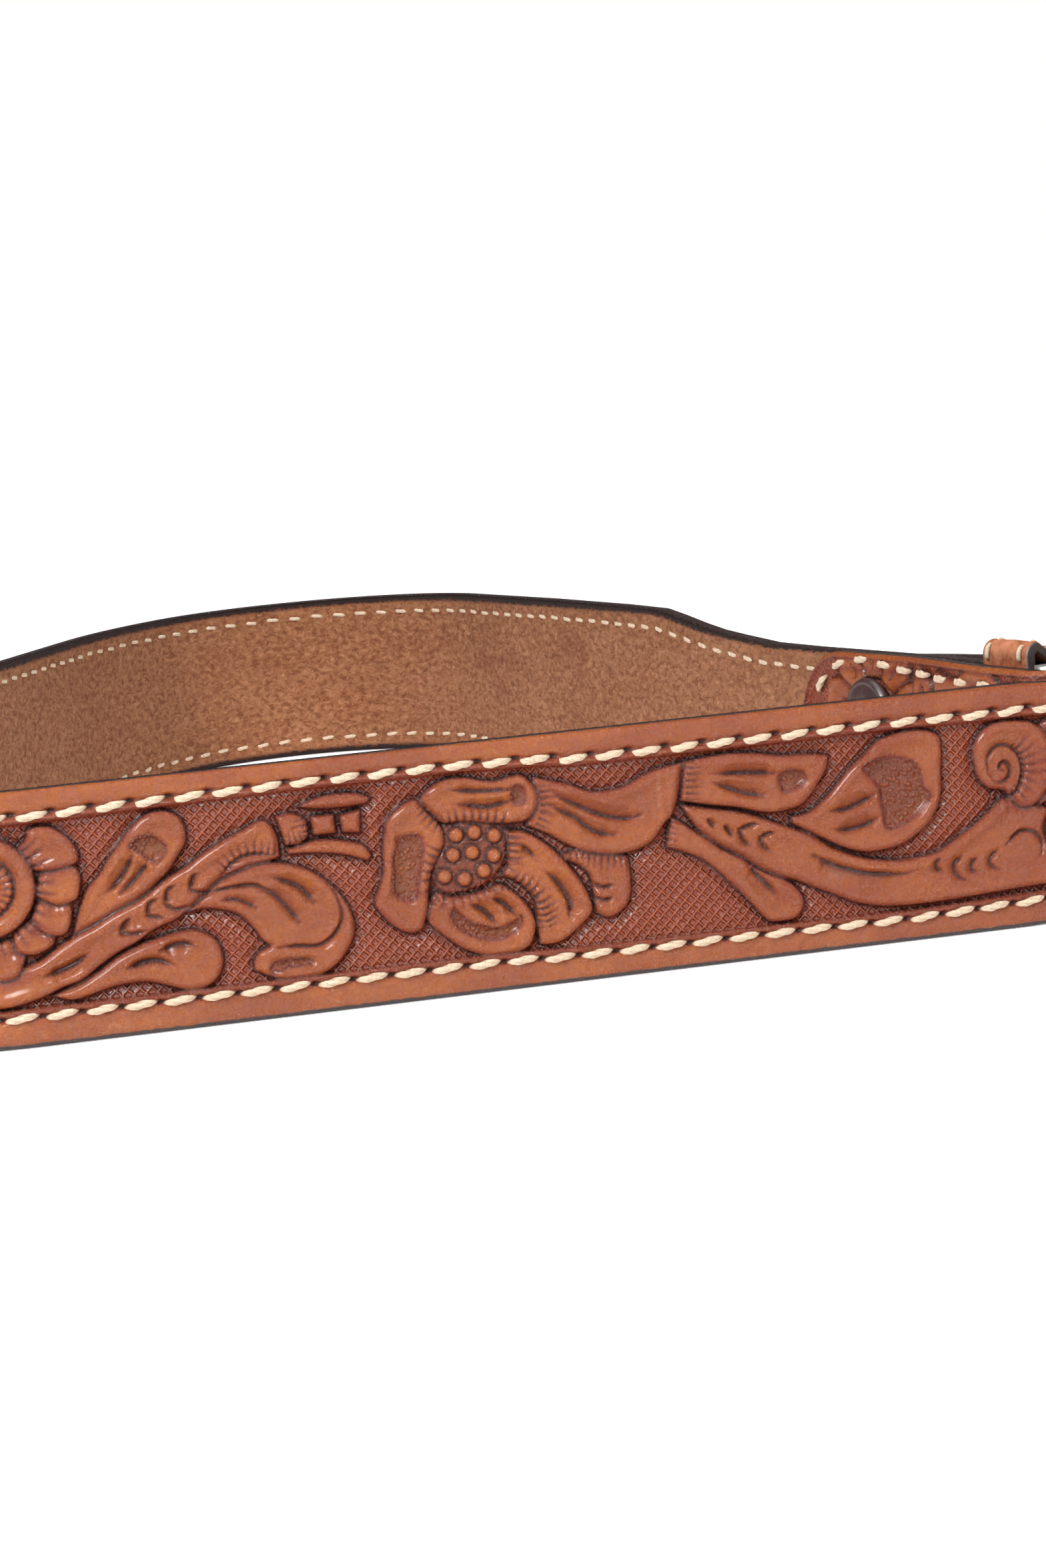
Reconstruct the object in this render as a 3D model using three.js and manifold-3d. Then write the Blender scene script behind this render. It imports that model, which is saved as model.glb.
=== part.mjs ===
// A western tooled leather belt, buckled into its loop and standing on its lower edge.
// Millimetres, +Z up, +X to the right and +Y away from the viewer.
// The strap is two layers: tooled leather outside and a lining inside. At the buckle the strap
// narrows, folds round the bar and comes back inside as a tab that a snap holds down.
// The other end runs in over the bar, takes the prong and passes through the keeper.
import * as THREE from "three";
import { mergeVertices } from "three/addons/utils/BufferGeometryUtils.js";
import Module from "manifold-3d";

// Strap
const LOOP_LENGTH = 869; // once round along the flesh side, from the bar to the bar
const STRAP_WIDTH = 38;
const NARROW_WIDTH = 25.4;
const TOOLED_THICKNESS = 3;
const LINING_THICKNESS = 1.2;
const LINING_INSET = 0.2; // the lining's edge stays this far inside the leather's
const CLEARANCE = 0.3; // between pieces that touch on the real belt
const EDGE_BEVEL = 0.6;
const BORDER_WIDTH = 6.2; // from the edge to the tooled field
const BORDER_STEP = 0.5; // width of the slope down to the field
const FIELD_DEPTH = 0.5;
// Where the strap ends in a point or a round, the section's features shrink with it.
const NARROW_SHARES = { border: 0.6, bevel: 0.2, step: 0.1, flat: 0.4 };

// Buckle end: shoulder, fold and tab
const SHOULDER_REACH = 180; // from the bar to the full width
const TAB_LENGTH = 71.5;
const TAB_RISE = 0.6; // the tab sits this much above the strap's middle
const TAB_SETTLE = 40; // distance from the bar at which the tab lies on the strap
const SLOT_HEIGHT = 4.4; // slot for the prong, cut through the fold

// Free end
const TIP_LENGTH = 75; // past the bar
const TIP_TAPER_START = 22; // past the bar
const TIP_TAPER = 1.6; // half-width lost before the point
const POINT_LENGTH = 20;
const POINT_FULLNESS = 1.7; // above 1 the point's sides bulge
const FREE_END_NARROW = 36; // before the bar, narrow from here on
const FREE_END_FULL = 82; // before the bar, full width up to here
const STEP_UP_START = 14; // before the bar, where the strap starts to climb over the fold
const STEP_UP_END = 1;
const HOLE_DIAMETER = 4.2;
const HOLE_PITCH = 20;
const HOLES_EACH_WAY = 2;
const USED_HOLE_LENGTH = 9; // the hole that the prong has pulled long
const USED_HOLE_DISTANCE = 9.6; // before the bar
const HOLE_OVERRUN = 0.6; // a cutter runs this far past both faces

// Buckle
const BAR_DIAMETER = 4;
const FRAME_LENGTH = 30; // from the bar to the middle of the end rail
const RAIL_WIDTH = 4.5;
const RAIL_THICKNESS = 3.5;
const RAIL_BEVEL = 0.7;
const FRAME_SIDE_GAP = 1;
const FRAME_HEEL = 3; // side rails run on past the bar
const FRAME_CORNER = 9;
const FRAME_LIFT = 1; // end rail clear of the strap under it
const PRONG_DIAMETER = 3;
const PRONG_OVERHANG = 3;

// Keeper
const KEEPER_WIDTH = 12.5;
const KEEPER_START = 5; // from the bar
const KEEPER_THICKNESS = 2.2;
const KEEPER_HEADROOM = 2.2; // air above and below the strap's edges
const KEEPER_CORNER = 5.5;

// Snap
const SNAP_DISTANCE = 48; // from the bar
const SNAP_RISE = 2; // above the tab's middle
const CAP_DIAMETER = 13;
const CAP_HEIGHT = 2.5;
// The cap's profile: shares of its radius and of its height.
const CAP_ROWS = [
  { out: 0, high: 1 },
  { out: 0.45, high: 0.95 },
  { out: 0.75, high: 0.78 },
  { out: 0.92, high: 0.55 },
  { out: 1, high: 0.35 },
  { out: 1, high: 0 },
  { out: 0, high: 0 },
];
const POST_DIAMETER = 4;
const POST_HEAD_DIAMETER = 8.4;
const POST_HEAD_THICKNESS = 0.8;

// Plan of the loop
const START_HEADING = 118.1; // degrees from +X, from the bar along the back
const NEAR_BEND_RADIUS = 30; // the bend beside the buckle
const BUCKLE_RUN = 17.5; // straight stretch before the bar
// Lengths are shares of one waist size that is solved from the loop's length. The two rows
// without a length are straights that close the loop.
const WAIST_ROWS = [
  { stretch: "behind the buckle", length: 0.252, turn: 0 },
  { stretch: "far bend", length: 0.103, turn: 120.4 },
  { stretch: "far bend easing out", length: 0.048, turn: 18.7 },
  { stretch: "left side", length: null, turn: 0 },
  { stretch: "near left bend", length: 0.131, turn: 112.3 },
  { stretch: "front", length: null, turn: 0 },
];
// How much of the full width is reached along the shoulder.
const SHOULDER_ROWS = [
  { reach: 0.417, widened: 0 },
  { reach: 0.5, widened: 0.03 },
  { reach: 0.567, widened: 0.19 },
  { reach: 0.611, widened: 0.31 },
  { reach: 0.65, widened: 0.48 },
  { reach: 0.694, widened: 0.71 },
  { reach: 0.733, widened: 0.89 },
  { reach: 0.817, widened: 0.95 },
  { reach: 1, widened: 1 },
];
// The prong as a curve beside the bar: how far before the bar as a share of the frame's length,
// and how far out of the way from the bar (0) to the top of the end rail (1).
const PRONG_ROWS = [
  { before: 0, out: 0 },
  { before: 0.14, out: 0.2 },
  { before: 0.27, out: 0.52 },
  { before: 0.38, out: 0.87 },
  { before: 0.5, out: 1.05 },
  { before: 0.7, out: 1.06 },
  { before: 1, out: 1 },
];

// Steps of the faceted surfaces
const STRAIGHT_STEP = 15;
const SHOULDER_STEP = 6;
const BEND_STEP = 6; // degrees
const FOLD_STEPS = 10;
const CLIMB_STEP = 1.3;
const TAB_STEP = 4.5;
const END_STEPS = 9;
const POINT_BLUNT = 0.4; // the last section stops this short of the tip
const ROUND_SIDES = 16;

// Worked out from the sizes above
const HALF_NARROW = NARROW_WIDTH / 2;
const HALF_FULL = STRAP_WIDTH / 2;
const MIDDLE_Z = HALF_FULL;
const TOOLED_NEAR = CLEARANCE / 2;
const TOOLED_FAR = TOOLED_NEAR + TOOLED_THICKNESS;
const LINING_NEAR = -CLEARANCE / 2;
const LINING_FAR = LINING_NEAR - LINING_THICKNESS;
const STACK = TOOLED_FAR - LINING_FAR;
const OVERLAY = STACK + CLEARANCE; // the free end lies this far outside the strap
const FOLD_RADIUS = BAR_DIAMETER / 2 + CLEARANCE - LINING_FAR;
const TAB_OFFSET = -(2 * -LINING_FAR + CLEARANCE); // the tab where it lies on the strap
const KEEPER_END = KEEPER_START + KEEPER_WIDTH;

const wasm = await Module();
wasm.setup();

const radians = THREE.MathUtils.degToRad;

function interpolate(rows, key, value, x) {
  if (x <= rows[0][key]) return rows[0][value];
  for (let i = 1; i < rows.length; i++) {
    const [a, b] = [rows[i - 1], rows[i]];
    if (x <= b[key]) {
      const t = (x - a[key]) / (b[key] - a[key]);
      return a[value] + t * (b[value] - a[value]);
    }
  }
  return rows[rows.length - 1][value];
}

function smooth(from, to, x) {
  const t = Math.min(Math.max((x - from) / (to - from), 0), 1);
  return t * t * (3 - 2 * t);
}

// Plan of the loop: a list of straights and arcs.
function advance(state, length, turn) {
  const angle = radians(turn);
  const h = state.heading;
  if (Math.abs(angle) < 1e-9)
    return {
      x: state.x + length * Math.cos(h),
      y: state.y + length * Math.sin(h),
      heading: h,
    };
  const radius = length / angle;
  return {
    x: state.x + radius * (Math.sin(h + angle) - Math.sin(h)),
    y: state.y - radius * (Math.cos(h + angle) - Math.cos(h)),
    heading: h + angle,
  };
}

// The rows with their lengths for one waist size, with the two open straights solved.
function closedRows(waist) {
  const turned = WAIST_ROWS.reduce((sum, row) => sum + row.turn, 0);
  const nearTurn = 360 - turned;
  const rows = WAIST_ROWS.map((row) => ({
    length: row.length === null ? null : row.length * waist,
    turn: row.turn,
  }));
  rows.push({
    length: NEAR_BEND_RADIUS * radians(nearTurn),
    turn: nearTurn,
  });
  rows.push({ length: BUCKLE_RUN, turn: 0 });
  let end = { x: 0, y: 0, heading: radians(START_HEADING) };
  const open = [];
  for (const row of rows) {
    if (row.length === null) open.push({ row, heading: end.heading });
    else end = advance(end, row.length, row.turn);
  }
  const [a, b] = open.map((o) => o.heading);
  const det = Math.sin(b - a);
  open[0].row.length = (-end.x * Math.sin(b) + end.y * Math.cos(b)) / det;
  open[1].row.length = (end.x * Math.sin(a) - end.y * Math.cos(a)) / det;
  return rows;
}

function totalLength(rows) {
  return rows.reduce((sum, row) => sum + row.length, 0);
}

// The total grows evenly with the waist size, so two trials give the size that fits.
function planRows() {
  const none = totalLength(closedRows(0));
  const one = totalLength(closedRows(1));
  return closedRows((LOOP_LENGTH - none) / (one - none));
}

const PLAN = planRows();

function planAt(s) {
  let state = { x: 0, y: 0, heading: radians(START_HEADING) };
  if (s <= 0) return advance(state, s, 0);
  for (const row of PLAN) {
    if (s <= row.length)
      return advance(state, s, (row.turn * s) / row.length);
    state = advance(state, row.length, row.turn);
    s -= row.length;
  }
  return advance(state, s, 0);
}

// A point beside the plan: s along it and q outward from it.
function offsetPoint(s, q) {
  const p = planAt(s);
  return new THREE.Vector2(
    p.x + q * Math.sin(p.heading),
    p.y - q * Math.cos(p.heading),
  );
}

// A point beside the bar, in the straight frame that the buckle sits in.
const BAR_HEADING = radians(START_HEADING);
function barPoint(s, q) {
  return new THREE.Vector2(
    s * Math.cos(BAR_HEADING) + q * Math.sin(BAR_HEADING),
    s * Math.sin(BAR_HEADING) - q * Math.cos(BAR_HEADING),
  );
}

function loopHalfWidth(s) {
  const widened = interpolate(
    SHOULDER_ROWS,
    "reach",
    "widened",
    s / SHOULDER_REACH,
  );
  const toEnd = LOOP_LENGTH - s;
  const kept = smooth(FREE_END_NARROW, FREE_END_FULL, toEnd);
  return HALF_NARROW + (HALF_FULL - HALF_NARROW) * Math.min(widened, kept);
}

function tabHalfWidth(s) {
  const round = HALF_NARROW;
  const past = s - (TAB_LENGTH - round);
  if (past <= 0) return HALF_NARROW;
  return Math.sqrt(Math.max(round * round - past * past, 0));
}

function tipHalfWidth(past) {
  const taper = smooth(TIP_TAPER_START, TIP_LENGTH, past) * TIP_TAPER;
  const t = (past - (TIP_LENGTH - POINT_LENGTH)) / POINT_LENGTH;
  const kept = t <= 0 ? 1 : 1 - Math.pow(Math.min(t, 1), POINT_FULLNESS);
  return (HALF_NARROW - taper) * kept;
}

function tabOffset(s) {
  const atBar = -2 * FOLD_RADIUS;
  const settled = smooth(KEEPER_START - 1, TAB_SETTLE, s);
  return atBar + (TAB_OFFSET - atBar) * settled;
}

function climb(toEnd) {
  return OVERLAY * (1 - smooth(STEP_UP_END, STEP_UP_START, toEnd));
}

// Stations of the strap from the tab's end to the tip: point, half-width and middle height.
function tabStations() {
  const list = [];
  const straight = TAB_LENGTH - HALF_NARROW;
  for (let i = 1; i <= END_STEPS; i++) {
    const angle = (Math.PI / 2) * (i / END_STEPS);
    list.push(straight + HALF_NARROW * Math.cos(angle));
  }
  const steps = Math.ceil(straight / TAB_STEP);
  for (let i = 1; i < steps; i++) list.push(straight * (1 - i / steps));
  return list.map((s) => ({
    point: barPoint(s, tabOffset(s)),
    half: tabHalfWidth(s),
    middle: MIDDLE_Z + TAB_RISE,
  }));
}

function foldStations() {
  const list = [];
  for (let i = 0; i < FOLD_STEPS; i++) {
    const angle = Math.PI * (i / FOLD_STEPS);
    const s = -FOLD_RADIUS * Math.sin(angle);
    const q = -FOLD_RADIUS - FOLD_RADIUS * Math.cos(angle);
    const rise = TAB_RISE * (1 - i / FOLD_STEPS);
    list.push({
      point: barPoint(s, q),
      half: HALF_NARROW,
      middle: MIDDLE_Z + rise,
    });
  }
  return list;
}

function loopStations() {
  const list = [];
  const climbStart = LOOP_LENGTH - STEP_UP_START;
  let start = 0;
  PLAN.forEach((row, index) => {
    const step = index === 0 ? SHOULDER_STEP : STRAIGHT_STEP;
    const steps = row.turn
      ? Math.ceil(row.turn / BEND_STEP)
      : Math.ceil(row.length / step);
    for (let i = 0; i < steps; i++) {
      const s = start + (row.length * i) / steps;
      if (s < climbStart - 1) list.push(s);
    }
    start += row.length;
  });
  const climbSteps = Math.ceil((STEP_UP_START - STEP_UP_END) / CLIMB_STEP);
  const climbRun = STEP_UP_START - STEP_UP_END;
  for (let i = 0; i <= climbSteps; i++)
    list.push(climbStart + (climbRun * i) / climbSteps);
  return list.map((s) => ({
    point: offsetPoint(s, climb(LOOP_LENGTH - s)),
    half: loopHalfWidth(s),
    middle: MIDDLE_Z,
  }));
}

function tipStations() {
  const list = [];
  const straight = TIP_LENGTH - POINT_LENGTH;
  const steps = Math.ceil(straight / TAB_STEP);
  for (let i = 0; i < steps; i++) list.push((straight * i) / steps);
  for (let i = 0; i < END_STEPS; i++)
    list.push(straight + POINT_LENGTH * (i / END_STEPS));
  list.push(TIP_LENGTH - POINT_BLUNT);
  return list.map((past) => ({
    point: barPoint(past, OVERLAY),
    half: tipHalfWidth(past),
    middle: MIDDLE_Z,
  }));
}

// Every station gets the direction towards the tooled side, to the right of the way it runs.
function strapCourse() {
  const list = [
    ...tabStations(),
    ...foldStations(),
    ...loopStations(),
    ...tipStations(),
  ];
  list.forEach((station, i) => {
    const before = list[Math.max(i - 1, 0)].point;
    const after = list[Math.min(i + 1, list.length - 1)].point;
    const way = after.clone().sub(before).normalize();
    station.out = new THREE.Vector2(way.y, -way.x);
  });
  return list;
}

// The tooled leather's section: height from the middle and distance out, going round once.
function tooledSection(half) {
  const far = TOOLED_FAR;
  const share = NARROW_SHARES;
  const border = Math.min(BORDER_WIDTH, half * share.border);
  const bevel = Math.min(EDGE_BEVEL, half * share.bevel);
  const step = Math.min(BORDER_STEP, half * share.step);
  const flat = HALF_NARROW * share.flat;
  const depth = FIELD_DEPTH * smooth(flat, HALF_NARROW, half);
  const field = half - border;
  const side = [
    [half, TOOLED_NEAR],
    [half, far - bevel],
    [half - bevel, far],
    [field + step, far],
    [field, far - depth],
  ];
  const mirrored = side.map(([h, out]) => [-h, out]).reverse();
  return [...side, ...mirrored];
}

function liningSection(half) {
  const edge = half - Math.min(LINING_INSET, half * NARROW_SHARES.step);
  const bevel = Math.min(CLEARANCE, edge * NARROW_SHARES.bevel);
  const side = [
    [-edge, LINING_NEAR],
    [-edge, LINING_FAR + bevel],
    [-edge + bevel, LINING_FAR],
  ];
  const mirrored = side.map(([h, out]) => [-h, out]).reverse();
  return [...side, ...mirrored];
}

// Skins a row of sections with the same number of points into one closed body.
function skin(rings) {
  const count = rings[0].length;
  const positions = rings.flat().flatMap((p) => [p.x, p.y, p.z]);
  const faces = [];
  for (let i = 0; i + 1 < rings.length; i++)
    for (let j = 0; j < count; j++) {
      const a = i * count + j;
      const b = i * count + ((j + 1) % count);
      faces.push(a, b, a + count, b, b + count, a + count);
    }
  const last = (rings.length - 1) * count;
  for (let j = 1; j + 1 < count; j++) {
    faces.push(0, j + 1, j);
    faces.push(last, last + j, last + j + 1);
  }
  const geometry = new THREE.BufferGeometry();
  geometry.setAttribute(
    "position",
    new THREE.Float32BufferAttribute(positions, 3),
  );
  geometry.setIndex(faces);
  return geometry;
}

function sweepStrap(sectionOf) {
  return skin(
    strapCourse().map((station) =>
      sectionOf(station.half).map(([height, out]) => {
        const p = station.point.clone().addScaledVector(station.out, out);
        return new THREE.Vector3(p.x, p.y, station.middle + height);
      }),
    ),
  );
}

function toSolid(geometry) {
  const plain = geometry.clone();
  plain.deleteAttribute("normal");
  plain.deleteAttribute("uv");
  const merged = mergeVertices(plain, 1e-4);
  return new wasm.Manifold(
    new wasm.Mesh({
      numProp: 3,
      vertProperties: merged.attributes.position.array,
      triVerts: new Uint32Array(merged.index.array),
    }),
  );
}

function toGeometry(solid) {
  const mesh = solid.getMesh();
  const geometry = new THREE.BufferGeometry();
  geometry.setAttribute(
    "position",
    new THREE.BufferAttribute(mesh.vertProperties, 3),
  );
  geometry.setIndex(new THREE.BufferAttribute(mesh.triVerts, 1));
  geometry.computeVertexNormals();
  return geometry;
}

// Turns a shape made along +Y so that +Y points out of the strap beside the bar.
function facingOut(geometry, s, q, z) {
  const out = barPoint(0, 1);
  const turn = new THREE.Quaternion().setFromUnitVectors(
    new THREE.Vector3(0, 1, 0),
    new THREE.Vector3(out.x, out.y, 0),
  );
  const at = barPoint(s, q);
  return geometry.applyQuaternion(turn).translate(at.x, at.y, z);
}

function drill(diameter, thickness) {
  const radius = diameter / 2;
  return new THREE.CylinderGeometry(radius, radius, thickness, ROUND_SIDES);
}

// A punched hole through the free end, at a distance before the bar.
function holeCutter(before, length) {
  const shape = new THREE.Shape();
  const radius = HOLE_DIAMETER / 2;
  const reach = (length - HOLE_DIAMETER) / 2;
  shape.absarc(reach, 0, radius, -Math.PI / 2, Math.PI / 2, false);
  shape.absarc(-reach, 0, radius, Math.PI / 2, (Math.PI * 3) / 2, false);
  const geometry = new THREE.ExtrudeGeometry(shape, {
    depth: STACK + 2 * HOLE_OVERRUN,
    bevelEnabled: false,
    curveSegments: ROUND_SIDES / 2,
  });
  geometry.translate(0, 0, LINING_FAR - HOLE_OVERRUN);
  const [here, ahead] = [before, before - 1].map((distance) =>
    offsetPoint(LOOP_LENGTH - distance, climb(distance)),
  );
  const way = ahead.clone().sub(here).normalize();
  const along = new THREE.Vector3(way.x, way.y, 0);
  const out = new THREE.Vector3(way.y, -way.x, 0);
  const up = new THREE.Vector3().crossVectors(out, along);
  geometry.applyMatrix4(new THREE.Matrix4().makeBasis(along, up, out));
  return geometry.translate(here.x, here.y, MIDDLE_Z);
}

function punchedHoles() {
  const list = [];
  for (let i = -HOLES_EACH_WAY; i <= HOLES_EACH_WAY; i++) {
    const length = i === 0 ? USED_HOLE_LENGTH : HOLE_DIAMETER;
    list.push({ before: USED_HOLE_DISTANCE + i * HOLE_PITCH, length });
  }
  return list;
}

const SNAP_Z = MIDDLE_Z + TAB_RISE + SNAP_RISE;
const TAB_FACE = TAB_OFFSET - TOOLED_FAR;
const POST_INNER = TAB_FACE - CLEARANCE / 2;
const POST_OUTER = TOOLED_FAR - CLEARANCE;

// Cuts what both layers have: the prong's slot, the punched holes and the snap's hole.
function cutLayer(geometry) {
  let solid = toSolid(geometry);
  const slotRadius = FOLD_RADIUS + TOOLED_FAR + CLEARANCE / 2;
  const slot = new THREE.CylinderGeometry(
    slotRadius,
    slotRadius,
    SLOT_HEIGHT,
    ROUND_SIDES * 2,
  );
  slot.rotateX(Math.PI / 2);
  const bar = barPoint(0, -FOLD_RADIUS);
  slot.translate(bar.x, bar.y, MIDDLE_Z);
  solid = solid.subtract(toSolid(slot));
  const open = POST_DIAMETER + 2 * CLEARANCE;
  const between = (POST_INNER + TOOLED_FAR) / 2;
  const reach = TOOLED_FAR - POST_INNER + CLEARANCE;
  const post = facingOut(drill(open, reach), SNAP_DISTANCE, between, SNAP_Z);
  return solid.subtract(toSolid(post));
}

function punch(solid) {
  for (const { before, length } of punchedHoles()) {
    const cutterOf = before > 0 ? holeCutter : overlaidHoleCutter;
    solid = solid.subtract(toSolid(cutterOf(before, length)));
  }
  return solid;
}

// Past the bar the free end is a second layer, so its holes stop short of the strap.
function overlaidHoleCutter(before, length) {
  const near = OVERLAY + LINING_FAR - CLEARANCE / 2;
  const far = OVERLAY + TOOLED_FAR + CLEARANCE;
  const middle = (near + far) / 2;
  return facingOut(drill(length, far - near), -before, middle, MIDDLE_Z);
}

function makeStrap() {
  const floor = POST_OUTER - POST_HEAD_THICKNESS - CLEARANCE;
  const top = TOOLED_FAR + CLEARANCE / 2;
  const recess = facingOut(
    drill(POST_HEAD_DIAMETER + 2 * CLEARANCE, top - floor),
    SNAP_DISTANCE,
    (floor + top) / 2,
    SNAP_Z,
  );
  const cut = cutLayer(sweepStrap(tooledSection)).subtract(toSolid(recess));
  return toGeometry(punch(cut));
}

function makeLining() {
  return toGeometry(punch(cutLayer(sweepStrap(liningSection))));
}

// A rounded rectangle as a shape or a hole.
function roundedRectangle(path, left, bottom, right, top, corner) {
  path.moveTo(left + corner, bottom);
  path.lineTo(right - corner, bottom);
  path.absarc(right - corner, bottom + corner, corner, -Math.PI / 2, 0);
  path.lineTo(right, top - corner);
  path.absarc(right - corner, top - corner, corner, 0, Math.PI / 2);
  path.lineTo(left + corner, top);
  path.absarc(left + corner, top - corner, corner, Math.PI / 2, Math.PI);
  path.lineTo(left, bottom + corner);
  path.absarc(
    left + corner,
    bottom + corner,
    corner,
    Math.PI,
    (Math.PI * 3) / 2,
  );
  return path;
}

// Places a shape drawn across the strap (x out, y up) and extruded along it from the bar.
function alongBar(geometry, s) {
  const out = barPoint(0, 1);
  const along = barPoint(1, 0);
  const matrix = new THREE.Matrix4().makeBasis(
    new THREE.Vector3(out.x, out.y, 0),
    new THREE.Vector3(0, 0, 1),
    new THREE.Vector3(-along.x, -along.y, 0),
  );
  const at = barPoint(s, 0);
  return geometry.applyMatrix4(matrix).translate(at.x, at.y, MIDDLE_Z);
}

function makeKeeper() {
  const inner = LINING_FAR - CLEARANCE;
  const outer = OVERLAY + TOOLED_FAR + CLEARANCE;
  const high = HALF_NARROW + KEEPER_HEADROOM;
  const wall = KEEPER_THICKNESS;
  const shape = new THREE.Shape();
  roundedRectangle(
    shape,
    inner - wall,
    -high - wall,
    outer + wall,
    high + wall,
    KEEPER_CORNER,
  );
  const hole = new THREE.Path();
  const innerCorner = Math.min(KEEPER_CORNER - wall, KEEPER_HEADROOM);
  roundedRectangle(hole, inner, -high, outer, high, innerCorner);
  shape.holes.push(hole);
  const geometry = new THREE.ExtrudeGeometry(shape, {
    depth: KEEPER_WIDTH,
    bevelEnabled: false,
    curveSegments: ROUND_SIDES / 2,
  });
  return toGeometry(toSolid(alongBar(geometry, KEEPER_END)));
}

// The end rail lies outside the strap: how far out its middle is beside the bar.
function endRailOffset() {
  const half = RAIL_WIDTH / 2;
  let highest = -Infinity;
  for (const before of [
    FRAME_LENGTH - half,
    FRAME_LENGTH,
    FRAME_LENGTH + half,
  ]) {
    const p = offsetPoint(LOOP_LENGTH - before, climb(before) + TOOLED_FAR);
    const q = p.x * Math.sin(BAR_HEADING) - p.y * Math.cos(BAR_HEADING);
    highest = Math.max(highest, q);
  }
  return highest + FRAME_LIFT + RAIL_THICKNESS / 2;
}

// Side and end rails as a U that is open at the bar.
function makeRails(reach) {
  const outer = HALF_NARROW + FRAME_SIDE_GAP + RAIL_WIDTH;
  const end = reach + RAIL_WIDTH / 2;
  const corner = FRAME_CORNER;
  const inner = Math.max(corner - RAIL_WIDTH, 1);
  const [o, i] = [outer - RAIL_BEVEL, outer - RAIL_WIDTH + RAIL_BEVEL];
  const [far, near] = [end - RAIL_BEVEL, end - RAIL_WIDTH + RAIL_BEVEL];
  const shape = new THREE.Shape();
  shape.moveTo(-FRAME_HEEL + RAIL_BEVEL, -o);
  shape.lineTo(far - corner, -o);
  shape.absarc(far - corner, -o + corner, corner, -Math.PI / 2, 0);
  shape.lineTo(far, o - corner);
  shape.absarc(far - corner, o - corner, corner, 0, Math.PI / 2);
  shape.lineTo(-FRAME_HEEL + RAIL_BEVEL, o);
  shape.lineTo(-FRAME_HEEL + RAIL_BEVEL, i);
  shape.lineTo(near - inner, i);
  shape.absarc(near - inner, i - inner, inner, Math.PI / 2, 0, true);
  shape.lineTo(near, -i + inner);
  shape.absarc(near - inner, -i + inner, inner, 0, -Math.PI / 2, true);
  shape.lineTo(-FRAME_HEEL + RAIL_BEVEL, -i);
  const depth = RAIL_THICKNESS - 2 * RAIL_BEVEL;
  const geometry = new THREE.ExtrudeGeometry(shape, {
    depth,
    bevelThickness: RAIL_BEVEL,
    bevelSize: RAIL_BEVEL,
    bevelSegments: 2,
    curveSegments: ROUND_SIDES / 2,
  });
  return geometry.translate(0, 0, -depth / 2);
}

function makeProng(tilt, reach) {
  const top = RAIL_THICKNESS / 2 + PRONG_DIAMETER / 2 - CLEARANCE;
  const rise = Math.sin(tilt) * reach + top;
  const points = PRONG_ROWS.map((row) => {
    const p = barPoint(
      -row.before * FRAME_LENGTH,
      -FOLD_RADIUS + row.out * rise,
    );
    return new THREE.Vector3(p.x, p.y, MIDDLE_Z);
  });
  const tip = barPoint(
    -FRAME_LENGTH - PRONG_OVERHANG,
    -FOLD_RADIUS + rise - CLEARANCE,
  );
  points.push(new THREE.Vector3(tip.x, tip.y, MIDDLE_Z));
  const round = new THREE.Shape().absarc(
    0,
    0,
    PRONG_DIAMETER / 2,
    0,
    Math.PI * 2,
  );
  const rod = new THREE.ExtrudeGeometry(round, {
    steps: ROUND_SIDES,
    curveSegments: ROUND_SIDES / 2,
    extrudePath: new THREE.CatmullRomCurve3(points),
  });
  const nose = new THREE.SphereGeometry(
    PRONG_DIAMETER / 2,
    ROUND_SIDES,
    ROUND_SIDES / 2,
  );
  nose.translate(tip.x, tip.y, MIDDLE_Z);
  return toSolid(rod).add(toSolid(nose));
}

function makeBuckle() {
  const rise = endRailOffset() + FOLD_RADIUS;
  const tilt = Math.atan2(rise, FRAME_LENGTH);
  const reach = Math.hypot(rise, FRAME_LENGTH);
  const heading = BAR_HEADING + Math.PI + tilt;
  const ahead = new THREE.Vector3(Math.cos(heading), Math.sin(heading), 0);
  const up = new THREE.Vector3(0, 0, 1);
  const out = new THREE.Vector3().crossVectors(ahead, up);
  const bar = barPoint(0, -FOLD_RADIUS);
  const place = new THREE.Matrix4()
    .makeBasis(ahead, up, out)
    .setPosition(bar.x, bar.y, MIDDLE_Z);
  const rails = toSolid(makeRails(reach).applyMatrix4(place));
  const span = 2 * (HALF_NARROW + FRAME_SIDE_GAP) + RAIL_WIDTH;
  const rod = new THREE.CylinderGeometry(
    BAR_DIAMETER / 2,
    BAR_DIAMETER / 2,
    span,
    ROUND_SIDES,
  );
  rod.rotateX(Math.PI / 2).translate(bar.x, bar.y, MIDDLE_Z);
  return toGeometry(
    rails.add(toSolid(rod)).add(makeProng(tilt, reach)),
  );
}

// A turned piece: a profile of [radius, height] with +Y out of the strap beside the bar.
function turned(profile, s, q, z) {
  const points = profile.map(([r, h]) => new THREE.Vector2(r, h));
  const lathe = new THREE.LatheGeometry(points, ROUND_SIDES);
  return toGeometry(toSolid(facingOut(lathe, s, q, z)));
}

function makeCap() {
  const radius = CAP_DIAMETER / 2;
  const profile = CAP_ROWS.map((row) => [
    row.out * radius,
    -row.high * CAP_HEIGHT,
  ]);
  return turned(profile, SNAP_DISTANCE, TAB_FACE - CLEARANCE, SNAP_Z);
}

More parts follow.
